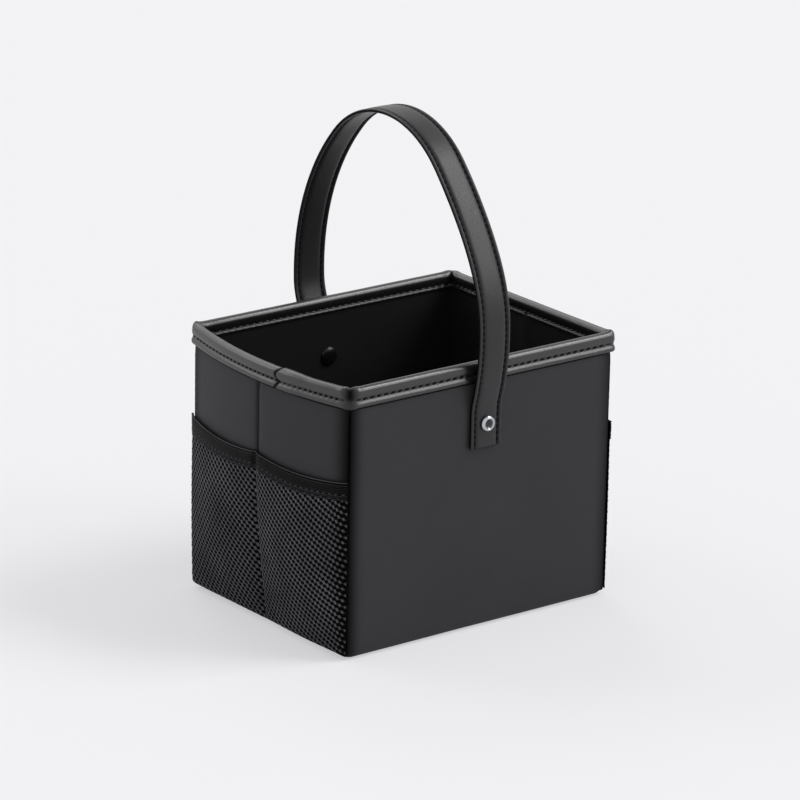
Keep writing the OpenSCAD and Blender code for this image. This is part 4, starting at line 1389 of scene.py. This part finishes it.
class STORAGE_BOX_OT_lining(Operator):
    """Makes the cloth bag and the loose base board"""

    bl_idname = "storage_box.lining"
    bl_label = "Lining"
    bl_options = {"REGISTER", "UNDO"}

    def execute(self, context):
        build_lining()
        build_insert()
        return {"FINISHED"}


class STORAGE_BOX_OT_binding(Operator):
    """Rolls the binding over the rim and sews it on"""

    bl_idname = "storage_box.binding"
    bl_label = "Rim Binding"
    bl_options = {"REGISTER", "UNDO"}

    def execute(self, context):
        build_binding()
        sew_rim()
        return {"FINISHED"}


class STORAGE_BOX_OT_pockets(Operator):
    """Knits both pockets and sews on their elastic"""

    bl_idname = "storage_box.pockets"
    bl_label = "Side Pockets"
    bl_options = {"REGISTER", "UNDO"}

    def execute(self, context):
        for side in (LEFT, RIGHT):
            build_mesh(side)
        for side in (LEFT, RIGHT):
            build_band(side)
            sew_band(side)
        return {"FINISHED"}


class STORAGE_BOX_OT_strap(Operator):
    """Makes and sews the carrying strap"""

    bl_idname = "storage_box.strap"
    bl_label = "Strap"
    bl_options = {"REGISTER", "UNDO"}

    def execute(self, context):
        build_strap()
        build_filler()
        sew_strap()
        return {"FINISHED"}


class STORAGE_BOX_OT_hardware(Operator):
    """Makes the rivets and gives the boards and caps that stay as CAD pieces their materials"""

    bl_idname = "storage_box.hardware"
    bl_label = "Rivets and Boards"
    bl_options = {"REGISTER", "UNDO"}

    def execute(self, context):
        build_rivets()
        paint_cad_nodes()
        return {"FINISHED"}


class STORAGE_BOX_OT_stage(Operator):
    """Sets up the paper, the surroundings, the soft boxes and the camera"""

    bl_idname = "storage_box.stage"
    bl_label = "Stage"
    bl_options = {"REGISTER", "UNDO"}

    def execute(self, context):
        set_floor()
        set_world()
        set_lights()
        set_camera()
        return {"FINISHED"}


OPERATORS = (STORAGE_BOX_OT_wrap, STORAGE_BOX_OT_sides, STORAGE_BOX_OT_lining, STORAGE_BOX_OT_binding,
             STORAGE_BOX_OT_pockets, STORAGE_BOX_OT_strap, STORAGE_BOX_OT_hardware, STORAGE_BOX_OT_stage)


class STORAGE_BOX_PT_sidebar(Panel):
    """Lists the sizes, the colours and the pieces of the box in the 3D view's sidebar"""

    bl_label = "Storage Box"
    bl_idname = "STORAGE_BOX_PT_sidebar"
    bl_space_type = "VIEW_3D"
    bl_region_type = "UI"
    bl_category = "Storage Box"

    def draw(self, context):
        column = self.layout.column(align=True)
        for group in (context.scene.box_sizes, context.scene.box_colours):
            for name in group.__annotations__:
                column.prop(group, name)
        for operator in OPERATORS:
            self.layout.operator(operator.bl_idname)


CLASSES = (BoxColours, BoxSizes, *OPERATORS, STORAGE_BOX_PT_sidebar)


def register():
    """Adds the classes and the scene's property groups."""
    for item in CLASSES:
        bpy.utils.register_class(item)
    bpy.types.Scene.box_colours = PointerProperty(type=BoxColours)
    bpy.types.Scene.box_sizes = PointerProperty(type=BoxSizes)


def unregister():
    """Takes them away again."""
    del bpy.types.Scene.box_sizes
    del bpy.types.Scene.box_colours
    for item in reversed(CLASSES):
        bpy.utils.unregister_class(item)


def main():
    """Builds the box and its stage."""
    register()
    bpy.context.scene.view_settings.view_transform = "Standard"
    make = bpy.ops.storage_box
    for build in (make.wrap, make.sides, make.lining, make.binding, make.pockets, make.strap, make.hardware,
                  make.stage):
        build()


if __name__ == "__main__":
    main()
